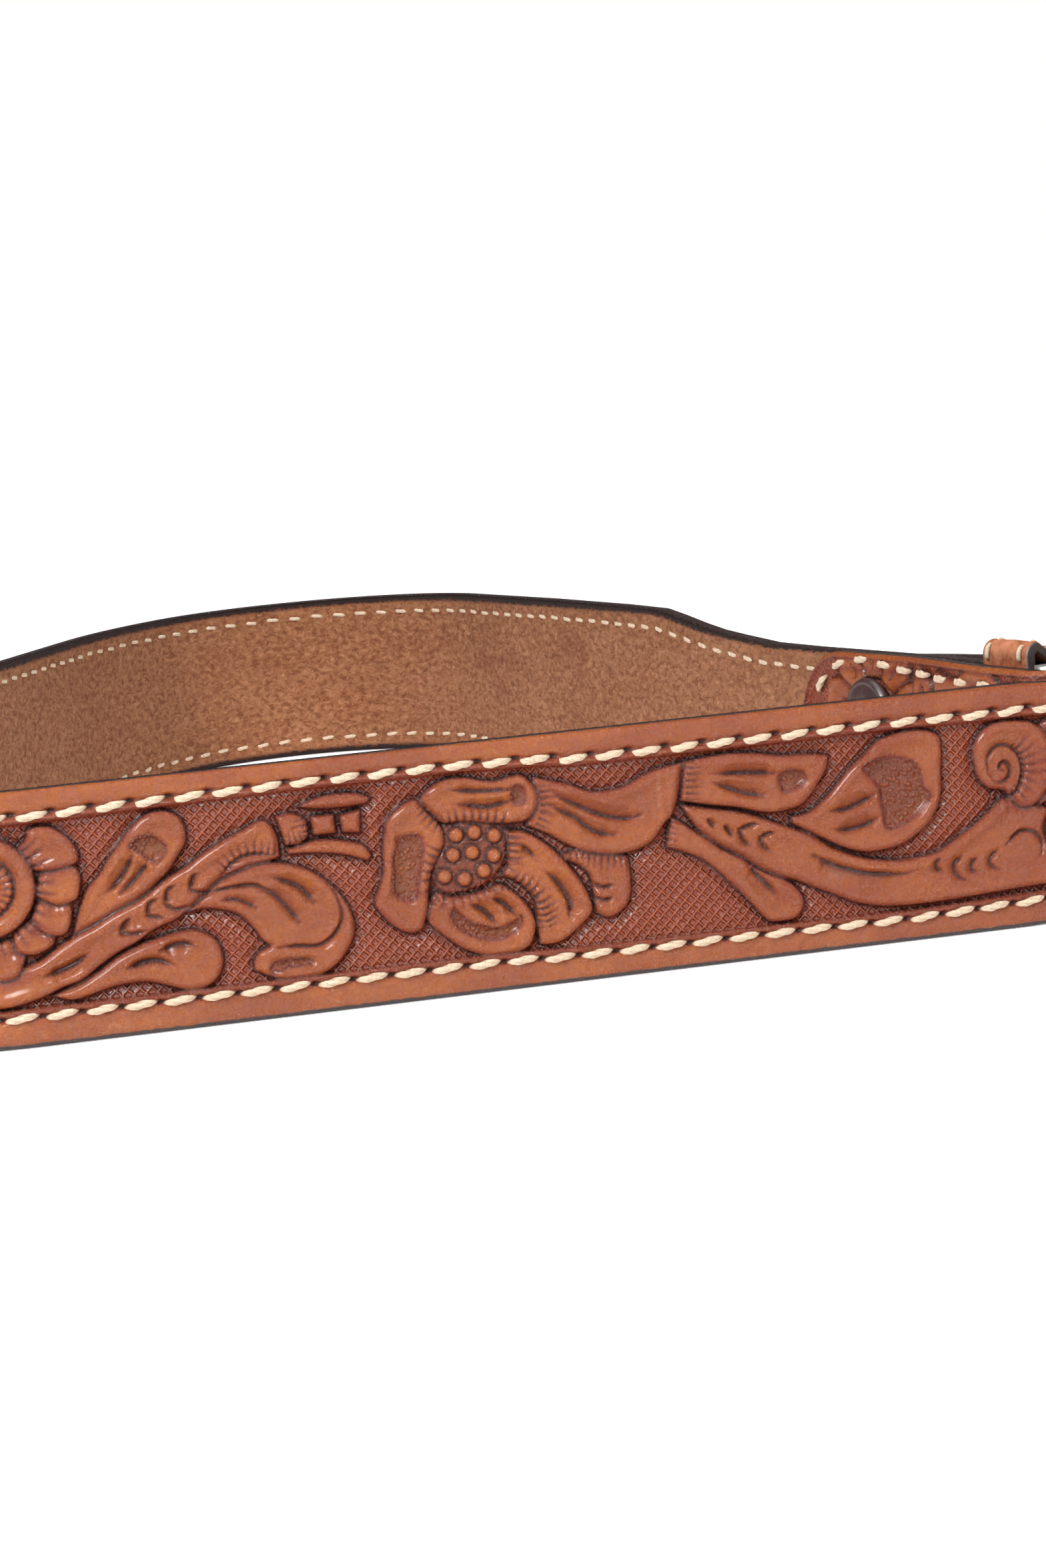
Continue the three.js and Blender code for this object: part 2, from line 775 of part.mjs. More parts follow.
function makePost() {
  const head = POST_HEAD_DIAMETER / 2;
  const shaft = POST_DIAMETER / 2;
  const under = POST_OUTER - POST_HEAD_THICKNESS;
  const profile = [
    [0, POST_INNER],
    [shaft, POST_INNER],
    [shaft, under],
    [head, under],
    [head, POST_OUTER],
    [0, POST_OUTER],
  ];
  return turned(profile, SNAP_DISTANCE, 0, SNAP_Z);
}

function material(color, roughness, metalness) {
  return new THREE.MeshStandardMaterial({ color, roughness, metalness });
}

const tooledLeather = material(0xb9693c, 0.5, 0);
const liningLeather = material(0xae7a56, 0.9, 0);
const keeperLeather = material(0xb97a4c, 0.6, 0);
const darkMetal = material(0x42292c, 0.35, 0.8);
const paleMetal = material(0xb8b2a6, 0.3, 0.9);

const belt = new THREE.Group();

function addPiece(name, geometry, finish) {
  const mesh = new THREE.Mesh(geometry, finish);
  mesh.name = name;
  belt.add(mesh);
}

addPiece("strap", makeStrap(), tooledLeather);
addPiece("lining", makeLining(), liningLeather);
addPiece("keeper", makeKeeper(), keeperLeather);
addPiece("buckle", makeBuckle(), paleMetal);
addPiece("snap_cap", makeCap(), darkMetal);
addPiece("snap_post", makePost(), paleMetal);

// The origin is the middle of the belt's box, on the surface it stands on.
const box = new THREE.Box3().setFromObject(belt, true);
const centre = box.getCenter(new THREE.Vector3());
belt.position.set(-centre.x, -centre.y, -box.min.z);

export default belt;
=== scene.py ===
import math
import bpy
import numpy as np
from mathutils import Matrix, Vector


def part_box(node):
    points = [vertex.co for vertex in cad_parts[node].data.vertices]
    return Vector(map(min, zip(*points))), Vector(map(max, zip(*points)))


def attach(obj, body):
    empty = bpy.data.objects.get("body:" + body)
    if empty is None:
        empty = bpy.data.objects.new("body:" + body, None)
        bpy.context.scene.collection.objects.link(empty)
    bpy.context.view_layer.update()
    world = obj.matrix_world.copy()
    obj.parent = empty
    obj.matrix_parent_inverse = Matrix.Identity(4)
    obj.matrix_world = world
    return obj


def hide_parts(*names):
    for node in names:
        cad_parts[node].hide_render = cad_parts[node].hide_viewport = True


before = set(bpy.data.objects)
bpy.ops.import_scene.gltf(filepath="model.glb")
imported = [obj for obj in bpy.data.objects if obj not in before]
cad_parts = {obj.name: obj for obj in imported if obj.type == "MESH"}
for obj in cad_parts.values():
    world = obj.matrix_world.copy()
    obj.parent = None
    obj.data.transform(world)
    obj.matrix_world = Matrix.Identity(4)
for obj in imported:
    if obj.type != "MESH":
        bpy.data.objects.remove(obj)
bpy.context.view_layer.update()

# A western tooled belt standing on its lower edge. Sizes are in millimetres and become metres
# when a mesh is made. A place on the belt is (c, z, q): c along its course, z above the floor
# and q outward from the flesh side of the tooled leather. The course runs from the tab's end
# round the bar at c = 0, along the loop, and out to the tip of the free end.
MM = 0.001

# The belt
LOOP_LENGTH = 869.0
STRAP_WIDTH = 38.0
NARROW_WIDTH = 25.4
CLEARANCE = 0.3
TOOLED_THICKNESS = 3.0
LINING_THICKNESS = 1.2
LINING_INSET = 0.2
BAR_DIAMETER = 4.0
TAB_LENGTH = 71.5
TAB_RISE = 0.6
TAB_SETTLE = (4.0, 40.0)
TIP_LENGTH = 75.0
TIP_TAPER_START = 22.0
TIP_TAPER = 1.6
POINT_LENGTH = 20.0
POINT_FULLNESS = 1.7
POINT_BLUNT = 0.3
FREE_END_NARROW = 36.0
FREE_END_FULL = 82.0
STEP_UP = (1.0, 14.0)
SHOULDER_REACH = 180.0
SHOULDER_AT = (0.417, 0.5, 0.567, 0.611, 0.65, 0.694, 0.733, 0.817, 1.0)
SHOULDER_WIDENED = (0.0, 0.03, 0.19, 0.31, 0.48, 0.71, 0.89, 0.95, 1.0)

# The plan: share of the waist size and turn in degrees, None where a straight closes the loop
START_HEADING = 118.1
NEAR_BEND_RADIUS = 30.0
BUCKLE_RUN = 17.5
WAIST_ROWS = (
    (0.252, 0.0),
    (0.103, 120.4),
    (0.048, 18.7),
    (None, 0.0),
    (0.131, 112.3),
    (None, 0.0),
)

HALF_NARROW = NARROW_WIDTH / 2
HALF_FULL = STRAP_WIDTH / 2
MIDDLE_Z = HALF_FULL
TOOLED_NEAR = CLEARANCE / 2
TOOLED_FAR = TOOLED_NEAR + TOOLED_THICKNESS
LINING_NEAR = -CLEARANCE / 2
LINING_FAR = LINING_NEAR - LINING_THICKNESS
OVERLAY = TOOLED_FAR - LINING_FAR + CLEARANCE
FOLD_RADIUS = BAR_DIAMETER / 2 + CLEARANCE - LINING_FAR
FOLD_RUN = math.pi * FOLD_RADIUS
TAB_OFFSET = 2 * LINING_FAR - CLEARANCE
COURSE_START = -FOLD_RUN - TAB_LENGTH
COURSE_END = LOOP_LENGTH + TIP_LENGTH

# Stitching of the outer face: along the front, distance of the row from each edge
STITCH_PITCH = 5.6
STITCH_LENGTH = 4.9
THREAD_RADIUS = 0.53
FIRST_TOP_STITCH = 641.2
FIRST_BOTTOM_STITCH = 637.1
TOP_ROW_AT = (600, 641, 658, 669, 680, 703, 709, 714, 720, 753, 759, 771, 782, 800)
TOP_ROW_IN = (4.3, 4.4, 4.1, 3.9, 3.75, 3.75, 4.0, 4.1, 4.65, 4.6, 4.5, 4.5, 4.7, 4.4)
BOTTOM_ROW_AT = (600, 637, 700, 710, 716, 721, 732, 738, 754, 770, 787, 800)
BOTTOM_ROW_IN = (4.3, 4.7, 4.6, 4.5, 4.2, 4.2, 4.05, 4.05, 3.9, 3.7, 4.2, 4.3)
LINE_INSIDE_ROW = 1.15
LINING_ROW_IN = 3.9

# The tooling chart, in millimetres along the belt and above its lower edge
CHART_START = 626.0
CHART_PERIOD = 168.0
CHART_STEP = 0.1
CHART_MARGIN = 14.0
GROUND_DEPTH = 0.68
BEVEL_DEPTH = 0.6
BEVEL_REACH = 1.05
DEEPEST = -1.7


def smooth(low, high, x):
    t = np.clip((np.asarray(x, float) - low) / (high - low), 0, 1)
    return t * t * (3 - 2 * t)


def round_angles(count):
    return 2 * math.pi * np.arange(count) / count


def run_along(line):
    """Distance along a line at each of its points."""
    return np.concatenate([[0], np.cumsum(np.linalg.norm(np.diff(line, axis=0), axis=1))])


def directions(line):
    way = np.gradient(line, axis=0)
    return way / np.linalg.norm(way, axis=1, keepdims=True)


# Course of the strap
def advance(state, length, curve):
    x, y, heading = state
    if abs(curve) < 1e-12:
        return x + length * math.cos(heading), y + length * math.sin(heading), heading + 0 * length
    turned = heading + curve * length
    along = (np.sin(turned) - math.sin(heading)) / curve
    across = (math.cos(heading) - np.cos(turned)) / curve
    return x + along, y + across, turned


def closed_rows(waist):
    """Lengths and turns of the plan for one waist size, with its two open straights solved."""
    near_turn = 360 - sum(turn for share, turn in WAIST_ROWS)
    rows = [[None if share is None else share * waist, math.radians(turn)] for share, turn in WAIST_ROWS]
    rows.append([NEAR_BEND_RADIUS * math.radians(near_turn), math.radians(near_turn)])
    rows.append([BUCKLE_RUN, 0.0])
    end = (0.0, 0.0, math.radians(START_HEADING))
    open_rows = []
    for row in rows:
        if row[0] is None:
            open_rows.append((row, end[2]))
        elif row[0] > 0:
            end = advance(end, row[0], row[1] / row[0])
        else:
            end = (end[0], end[1], end[2] + row[1])
    (first, a), (second, b) = open_rows
    spread = math.sin(b - a)
    first[0] = (-end[0] * math.sin(b) + end[1] * math.cos(b)) / spread
    second[0] = (end[0] * math.sin(a) - end[1] * math.cos(a)) / spread
    return rows


def plan_rows():
    none, one = (sum(row[0] for row in closed_rows(waist)) for waist in (0, 1))
    return closed_rows((LOOP_LENGTH - none) / (one - none))


PLAN = plan_rows()


def plan_at(s):
    s = np.asarray(s, float)
    x, y = np.zeros_like(s), np.zeros_like(s)
    heading = np.zeros_like(s)
    state = (0.0, 0.0, math.radians(START_HEADING))
    start = 0.0
    for index, (length, turn) in enumerate(PLAN):
        last = index == len(PLAN) - 1
        here = (s >= start) | (index == 0)
        here &= (s < start + length) | last
        px, py, ph = advance(state, s - start, turn / length)
        x, y, heading = np.where(here, px, x), np.where(here, py, y), np.where(here, ph, heading)
        state = advance(state, length, turn / length)
        start += length
    return x, y, heading


def bar_point(s, q):
    a = math.radians(START_HEADING)
    return s * math.cos(a) + q * math.sin(a), s * math.sin(a) - q * math.cos(a)


def climb(to_end):
    return OVERLAY * (1 - smooth(*STEP_UP, to_end))


def centre(c):
    """The course in plan, before it is put in the part's frame."""
    c = np.asarray(c, float)
    tab_s = -c - FOLD_RUN
    settled = smooth(*TAB_SETTLE, tab_s)
    tab = bar_point(tab_s, -2 * FOLD_RADIUS + (TAB_OFFSET + 2 * FOLD_RADIUS) * settled)
    angle = math.pi * (1 + np.clip(c, -FOLD_RUN, 0) / FOLD_RUN)
    fold = bar_point(-FOLD_RADIUS * np.sin(angle), -FOLD_RADIUS * (1 + np.cos(angle)))
    x, y, heading = plan_at(np.clip(c, 0, LOOP_LENGTH))
    q = climb(LOOP_LENGTH - c)
    loop = (x + q * np.sin(heading), y - q * np.cos(heading))
    tip = bar_point(c - LOOP_LENGTH, OVERLAY)
    chosen = []
    for i in (0, 1):
        value = np.where(c < -FOLD_RUN, tab[i], fold[i])
        value = np.where(c >= 0, loop[i], value)
        chosen.append(np.where(c > LOOP_LENGTH, tip[i], value))
    return chosen


def outward(c, reach=0.08):
    before, after = centre(c - reach), centre(c + reach)
    dx, dy = after[0] - before[0], after[1] - before[1]
    length = np.hypot(dx, dy)
    return dy / length, -dx / length


def half_width(c):
    c = np.asarray(c, float)
    widened = np.interp(c / SHOULDER_REACH, SHOULDER_AT, SHOULDER_WIDENED)
    kept = smooth(FREE_END_NARROW, FREE_END_FULL, LOOP_LENGTH - c)
    half = HALF_NARROW + (HALF_FULL - HALF_NARROW) * np.minimum(widened, kept)
    past_round = np.clip(-c - FOLD_RUN - (TAB_LENGTH - HALF_NARROW), 0, HALF_NARROW)
    half = np.where(c < 0, np.sqrt(HALF_NARROW**2 - past_round**2), half)
    past = np.clip(c - LOOP_LENGTH, 0, TIP_LENGTH)
    point = np.clip((past - TIP_LENGTH + POINT_LENGTH) / POINT_LENGTH, 0, 1)
    tip = (HALF_NARROW - smooth(TIP_TAPER_START, TIP_LENGTH, past) * TIP_TAPER) * (1 - point**POINT_FULLNESS)
    return np.where(c > LOOP_LENGTH, tip, half)


def middle_height(c):
    return MIDDLE_Z + TAB_RISE * np.clip(-np.asarray(c, float) / FOLD_RUN, 0, 1)


def frame_shift():
    """From the plan's own origin to the part's frame, by the boxes of both straps."""
    c = np.arange(COURSE_START, COURSE_END, 0.25)
    x, y = centre(c)
    ox, oy = outward(c)
    xs = np.concatenate([x + ox * q for q in (TOOLED_NEAR, TOOLED_FAR)])
    ys = np.concatenate([y + oy * q for q in (TOOLED_NEAR, TOOLED_FAR)])
    low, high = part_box("strap")
    middle_x, middle_y = (low[0] + high[0]) / 2 / MM, (low[1] + high[1]) / 2 / MM
    return middle_x - (xs.min() + xs.max()) / 2, middle_y - (ys.min() + ys.max()) / 2


SHIFT = frame_shift()


def place(c, z, q):
    """World points in metres of places on the belt."""
    c, z, q = np.broadcast_arrays(c, z, q)
    x, y = centre(c)
    ox, oy = outward(c)
    return np.stack([x + ox * q + SHIFT[0], y + oy * q + SHIFT[1], z], axis=-1) * MM


# Curves and distances of the tooling chart
def rounded(points, closed, corner=58, steps=4):
    """A curve through given points that stays sharp where it turns by more than a corner."""
    p = np.asarray(points, float)
    count = len(p)
    ahead, behind = np.roll(p, -1, axis=0) - p, p - np.roll(p, 1, axis=0)
    if not closed:
        ahead[-1], behind[0] = behind[-1], ahead[0]
    turn = np.arctan2(ahead[:, 1], ahead[:, 0]) - np.arctan2(behind[:, 1], behind[:, 0])
    turn = np.degrees(np.abs((turn + math.pi) % (2 * math.pi) - math.pi))
    sharp = (turn > corner)[:, None]
    leave = np.where(sharp, ahead, (ahead + behind) / 2)
    arrive = np.where(sharp, behind, (ahead + behind) / 2)
    out = []
    for i in range(count if closed else count - 1):
        j = (i + 1) % count
        chord = np.linalg.norm(p[j] - p[i])
        a = leave[i] * min(1, chord / (np.linalg.norm(leave[i]) + 1e-9))
        b = arrive[j] * min(1, chord / (np.linalg.norm(arrive[j]) + 1e-9))
        t = (np.arange(steps) / steps)[:, None]
        h1, h2 = 2 * t**3 - 3 * t**2 + 1, t**3 - 2 * t**2 + t
        h3, h4 = -2 * t**3 + 3 * t**2, t**3 - t**2
        out.append(h1 * p[i] + h2 * a + h3 * p[j] + h4 * b)
    if not closed:
        out.append(p[-1:])
    return np.concatenate(out)


def distance_to(x, y, line, closed):
    """Distance to a polyline, how far along it the nearest place is, and the side of it."""
    ends = np.roll(line, -1, axis=0) if closed else line[1:]
    starts = line if closed else line[:-1]
    best = np.full(x.shape, 1e9)
    along, side = np.zeros(x.shape), np.zeros(x.shape)
    run = 0.0
    for (ax, ay), (bx, by) in zip(starts, ends):
        dx, dy = bx - ax, by - ay
        length = math.hypot(dx, dy)
        if length < 1e-6:
            continue
        t = np.clip(((x - ax) * dx + (y - ay) * dy) / length**2, 0, 1)
        d = (x - ax - t * dx) ** 2 + (y - ay - t * dy) ** 2
        nearer = d < best
        best = np.where(nearer, d, best)
        along = np.where(nearer, run + t * length, along)
        side = np.where(nearer, dx * (y - ay) - dy * (x - ax), side)
        run += length
    return np.sqrt(best), along, side, run


def inside(x, y, line):
    count = np.zeros(x.shape, bool)
    for (ax, ay), (bx, by) in zip(line, np.roll(line, -1, axis=0)):
        if ay == by:
            continue
        crossing = (ay > y) != (by > y)
        count ^= crossing & (x < (bx - ax) * (y - ay) / (by - ay) + ax)
    return count


class Chart:
    """Relief and masks of a stretch of tooling, worked out on a fine grid from its curves."""

    def __init__(self, start, length, width, period=None):
        margin = CHART_MARGIN if period else 0
        self.start, self.period = start, period
        self.low = start - margin
        self.x = np.arange(self.low, start + length + margin, CHART_STEP)
        self.y = np.arange(0, width + CHART_STEP, CHART_STEP)
        shape = (len(self.x), len(self.y))
        self.height = np.full(shape, -GROUND_DEPTH)
        self.ground = np.ones(shape)
        self.hollow = np.zeros(shape)
        # dye: darkening of the colour, partly antique dye in the cuts and partly painted shade in the
        # bevels, grooves, holes and inside the raised shapes
        self.dye_and_shade = np.full(shape, 0.25)

    def windows(self, line, reach):
        """The curve's copies in the chart, each with the block of the grid around it."""
        for lap in (-1, 0, 1) if self.period else (0,):
            moved = line + [lap * (self.period or 0), 0]
            x0 = np.searchsorted(self.x, moved[:, 0].min() - reach)
            x1 = np.searchsorted(self.x, moved[:, 0].max() + reach)
            y0 = np.searchsorted(self.y, moved[:, 1].min() - reach)
            y1 = np.searchsorted(self.y, moved[:, 1].max() + reach)
            if x1 > x0 and y1 > y0:
                x, y = np.meshgrid(self.x[x0:x1], self.y[y0:y1], indexing="ij")
                yield moved, (slice(x0, x1), slice(y0, y1)), x, y

    def raise_shape(self, points, rim=0.2, bevel=BEVEL_DEPTH, corner=58):
        """A leaf or petal: a raised rim inside its cut outline, and what lies beside bevelled down."""
        for line, block, x, y in self.windows(rounded(points, True, corner), 4.5):
            d = distance_to(x, y, line, True)[0]
            within = inside(x, y, line)
            body = rim * np.exp(-(((d - 1.0) / 0.75) ** 2)) - 0.55 * np.exp(-d / 0.42)
            body -= 0.3 * smooth(1.2, 3.2, d)
            beside = self.height[block] - bevel * np.exp(-((d / BEVEL_REACH) ** 1.3))
            self.height[block] = np.where(within, body, np.maximum(beside, DEEPEST))
            self.ground[block] = np.where(within, 0, self.ground[block])
            self.hollow[block] = np.where(within, 0, self.hollow[block])
            # Painted shade with the dye in the cut: a dark line along the outline, the bevelled ground
            # beside the shape darkened and soft shading just inside its edge
            line_dye_and_shade = np.exp(-((d / 0.34) ** 2))
            shade = np.maximum(line_dye_and_shade, 0.62 * np.exp(-d / 0.9))
            outer = np.maximum(self.dye_and_shade[block], shade)
            inner = np.maximum(0.75 * line_dye_and_shade, 0.42 * np.exp(-d / 0.8))
            self.dye_and_shade[block] = np.where(within, inner, outer)

    def cut(self, points, width=0.5, depth=0.5, taper=0.9):
        """A decorative cut: opens quickly and runs out to nothing."""
        for line, block, x, y in self.windows(rounded(points, False, 80), 2.0):
            d, along, side, run = distance_to(x, y, line, False)
            share = along / run
            open_share = np.clip(share / 0.12, 0.5, 1) * (1 - taper * smooth(0.6, 1, share))
            wide = width * open_share + 0.05
            leaned = np.where(side > 0, 2.1, 0.85) * d
            profile = np.exp(-((leaned / wide) ** 1.6))
            lip = np.exp(-(((leaned - 2.0 * wide) / 0.5) ** 2)) * open_share
            self.height[block] += 0.14 * lip - depth * open_share * profile
            # Painted shade with the dye: a dark line down the cut's groove
            dark = open_share**0.5 * np.exp(-((leaned / (0.42 * wide + 0.08)) ** 2))
            self.dye_and_shade[block] = np.maximum(self.dye_and_shade[block], dark)

    def sink(self, points, depth=0.62):
        """A pebbled hollow."""
        for line, block, x, y in self.windows(rounded(points, True, 130), 1.5):
            d = distance_to(x, y, line, True)[0]
            signed = np.where(inside(x, y, line), d, -d)
            share = smooth(-0.4, 0.9, signed)
            self.height[block] -= depth * share
            self.height[block] += 0.08 * np.exp(-(((signed + 0.6) / 0.4) ** 2))
            self.hollow[block] = np.maximum(self.hollow[block], smooth(-0.2, 0.4, signed))
            # Painted shade: the hollow darkened just inside its rim and a little over its floor
            edge = 0.5 * np.exp(-(((signed - 0.3) / 0.35) ** 2)) + 0.12 * smooth(0, 1, signed)
            self.dye_and_shade[block] = np.maximum(self.dye_and_shade[block], edge)

    def veins(self, points, reach, pitch=0.95, depth=0.32):
        """Short shading lines square to a curve, on its left for a positive reach."""
        span = abs(reach)
        for line, block, x, y in self.windows(rounded(points, False, 80), span):
            d, along, side, run = distance_to(x, y, line, False)
            here = (np.sign(side) == np.sign(reach)) & (along > 0) & (along < run)
            wave = (0.5 + 0.5 * np.cos(2 * math.pi * along / pitch)) ** 2
            share = np.where(here, np.clip(1 - d / span, 0, 1) ** 0.7 * wave, 0)
            self.height[block] -= depth * share
            # Painted shade with the dye: the vein grooves darkened
            self.dye_and_shade[block] = np.maximum(self.dye_and_shade[block], share)

    def flatten(self, points, level):
        """Plain lowered ground with no crosshatching, such as a flower's centre."""
        for line, block, x, y in self.windows(rounded(points, True), 1.0):
            d = distance_to(x, y, line, True)[0]
            share = np.where(inside(x, y, line), smooth(0, 0.5, d), 0)
            self.height[block] += (level - self.height[block]) * share
            # Painted shade with the dye: the lowered centre darkened
            self.dye_and_shade[block] += (0.45 - self.dye_and_shade[block]) * share
            self.ground[block] *= 1 - share

    def seed(self, x0, y0, radius):
        ring = np.array([[x0 - radius, y0 - radius], [x0 + radius, y0 + radius]])
        for line, block, x, y in self.windows(ring, 0.6):
            cx, cy = line.mean(axis=0)
            r = np.hypot(x - cx, y - cy) / radius
            dome = -0.62 + 0.85 * np.sqrt(np.clip(1 - r**2, 0, 1))
            self.height[block] = np.where(r < 1, np.maximum(self.height[block], dome), self.height[block])
            # Painted shade: the seed's dome darker towards its rim, and its moat darkened
            self.dye_and_shade[block] = np.where(r < 1, np.clip(1.2 * r**6, 0, 1), self.dye_and_shade[block])
            moat = np.exp(-(((r - 1.12) / 0.16) ** 2))
            self.height[block] -= 0.25 * moat * (r >= 1)
            self.dye_and_shade[block] = np.maximum(self.dye_and_shade[block], moat)
            self.ground[block] = np.where(r < 1.2, 0, self.ground[block])

    def finish(self):
        for _ in range(2):
            for axis in (0, 1):
                near = np.roll(self.height, 1, axis) + np.roll(self.height, -1, axis)
                self.height = self.height * 0.5 + near * 0.25
        self.dye_and_shade = np.clip(self.dye_and_shade, 0, 1)

    def sample(self, values, along, across):
        if self.period:
            along = self.start + (along - self.start) % self.period
        i = np.clip((along - self.low) / CHART_STEP, 0, len(self.x) - 1.001)
        j = np.clip(across / CHART_STEP, 0, len(self.y) - 1.001)
        i0, j0 = i.astype(int), j.astype(int)
        fi, fj = i - i0, j - j0
        low = values[i0, j0] * (1 - fj) + values[i0, j0 + 1] * fj
        high = values[i0 + 1, j0] * (1 - fj) + values[i0 + 1, j0 + 1] * fj
        return low * (1 - fi) + high * fi


def arc(centre_at, radius, start, end, steps=10):
    angles = np.radians(np.linspace(start, end, steps))
    return [(centre_at[0] + radius * math.cos(a), centre_at[1] + radius * math.sin(a)) for a in angles]


# The tooling of the strap, charted
SCROLL_EYE = (633.3, 23.8)
SCROLL_RADIUS = 7.6
SCROLL_PETALS = (
    [(636.2, 16.1), (637.6, 16.5), (638.5, 15.2), (638.7, 13.8), (638, 11.9), (637, 10.5), (634.5, 10.2),
     (632.5, 12), (632.6, 15.6)],
    [(640.1, 19.1), (641.4, 19.5), (642.6, 18.3), (643.1, 16.6), (642.7, 14.9), (641.7, 14.1), (639.5, 13.4),
     (637.2, 14.2), (637, 17)],
    [(641.7, 23), (643.1, 23.4), (644.5, 22.7), (645.5, 21.3), (645.6, 19.1), (645.1, 16.9), (643.9, 15.8),
     (641.5, 16.4), (639.5, 18.5)],
    [(641.9, 26.3), (643.1, 26.9), (644.8, 26.9), (646.4, 26.1), (647.3, 24.4), (647.1, 22.4), (646.4, 20.8),
     (643.5, 20.3), (640.5, 22)],
    [(640, 30.2), (640.3, 31.6), (641.7, 32), (643.7, 31.8), (645.6, 30.5), (647, 28.6), (647.4, 26.9),
     (647, 26.1), (645, 25.6), (641, 25.5), (638, 28.2)],
    [(629.5, 30), (627.5, 31.7), (624.2, 31.4), (621.8, 29.4), (621.7, 26.6), (624, 25), (627.5, 25.6)],
    [(626, 25), (623.5, 25.4), (621.2, 23.6), (621, 20.4), (622.8, 18.4), (626.5, 20)],
    [(627.5, 19), (624.8, 17.7), (623.6, 14.6), (625, 12), (628.3, 12), (631, 15.6)],
)
LOWER_LEAF = [
    (641, 7.3), (644.5, 6.3), (648.7, 7.2), (651.4, 7.7), (655.1, 7.7), (658.4, 6.6), (660.6, 5.8),
    (663.1, 5.8), (665.1, 6.9), (666.2, 8.8), (666.3, 10.8), (665.6, 12.7), (663.9, 14.1), (662, 14.7),
    (659.2, 14.4), (656.4, 13.8), (654.2, 13.3), (651.4, 12.2), (648.7, 10.5), (645.9, 9.1),
]
LOOP_LEAF = [
    (647.5, 21.6), (649.8, 24.1), (651.4, 26.3), (653.1, 28.3), (655.1, 30.5), (657, 31.9), (658.9, 32.4),
    (660.9, 32), (662.3, 30.8), (662.8, 29.1), (662.6, 27.2), (661.4, 25.5), (659.8, 23.3), (657.8, 21.6),
    (655.9, 20.2), (653.5, 18.8), (650.5, 17.4), (647, 16), (645, 15.3),
]
LONG_STEM = [
    (628.5, 8), (631.5, 6.8), (635.1, 6.1), (640.3, 7.2), (643.1, 8.3), (645.9, 9.1), (648.7, 10.8),
    (651.4, 12.4), (654.2, 13.6), (657, 15.2), (659.8, 16.1), (661.4, 16.9), (665, 19.7), (667, 21.3),
    (670.3, 22.4), (673.7, 22.9), (676, 23.6), (675.9, 26.1), (675.5, 27.7), (674.5, 29.1), (673.1, 29.3),
    (670.9, 28.3), (668.1, 27.2), (665.3, 25.8), (662.6, 24.1), (660.3, 23), (658.4, 21.9), (655.9, 20.2),
    (654.2, 19.4), (651.4, 18.3), (648.7, 16.9), (645.9, 15.8), (643.1, 14.4), (640.3, 12.7), (634, 10.6),
]
CURL_LEAF = [
    (661.4, 16.9), (663.9, 17.4), (666.7, 16.9), (669.2, 15.8), (670.9, 13.8), (672, 11.9), (673.1, 10.9),
    (671.4, 10.2), (670.5, 8.8), (670.5, 7.5), (672.8, 6.3), (674.8, 5.6), (678.9, 5.5), (681.2, 6.1),
    (683.1, 7.4), (684.5, 9.1), (685.6, 11.3), (685.6, 13.8), (684.5, 16.6), (682.6, 19.1), (680.3, 21.1),
    (677.6, 22.4), (674.8, 23), (672, 22.9), (670.3, 22.4), (667, 21.3), (665, 19.7),
]
BOW_PARTS = (
    [(678.9, 30.6), (681.2, 31.6), (683.9, 32), (687.6, 31.8), (689.8, 30.8), (688.7, 29.9), (683.1, 29.8),
     (679.5, 30.4)],
    [(680.6, 29.1), (684.2, 29.1), (684.4, 26.1), (680.9, 26.1)],
    [(684.8, 28.8), (688.1, 29.4), (687.8, 25.8), (685.1, 26.1)],
    [(676.7, 24.7), (680.1, 25.5), (683.1, 25.5), (685.9, 24.9), (688.1, 24.1), (689.2, 22.4), (688.5, 21.6),
     (685, 22.9), (681, 23.6), (677, 23.8)],
    [(675.6, 29.7), (678.1, 29.9), (680.1, 28.6), (680.3, 26.1), (678.7, 25.2), (676.7, 25.2)],
)
LEFT_PETAL = [
    (691.2, 25.8), (691.4, 26.9), (692.6, 28.3), (694.2, 29.4), (695.6, 29.9), (696.4, 29.7), (697.6, 28),
    (699.2, 26.1), (699.8, 24.9), (699.8, 23), (698.7, 20.8), (697.6, 18.8), (697, 16.1), (696.7, 14.1),
    (696.2, 12.2), (695.6, 10.8), (694.2, 10.2), (692.6, 10.6), (690.9, 11.9), (689.8, 13.3), (688.8, 14.9),
    (688.9, 16.1), (689.8, 18), (690.5, 20.2), (690.6, 22.4), (690.9, 24.7),
]
TOP_PETAL = [
    (696.7, 29.7), (697.6, 30.8), (699.2, 31.9), (701.2, 32.4), (703.9, 32.3), (706.2, 31.6), (708.1, 31.3),
    (710.3, 31.8), (712, 31.8), (713.4, 30.5), (714.2, 28.8), (713.9, 26.9), (712.6, 25.2), (710.9, 24.7),
    (708.1, 24.9), (705.3, 25.4), (702.6, 25.8), (699.8, 25.8), (698.7, 26.9), (697, 28.8),
]
LOWER_PETAL = [
    (696.5, 11.3), (697.8, 9.9), (699.2, 8.6), (700.9, 7.2), (703.1, 6.1), (705.3, 5.4), (708.1, 5.4),
    (710.9, 6.1), (712.1, 8), (712.3, 10.2), (711.4, 12.4), (710.3, 13.8), (708.9, 15.2), (707.3, 16.1),
    (704, 15.2), (700.2, 15), (697.9, 16.2), (696.6, 14.2), (696.2, 12.4),
]
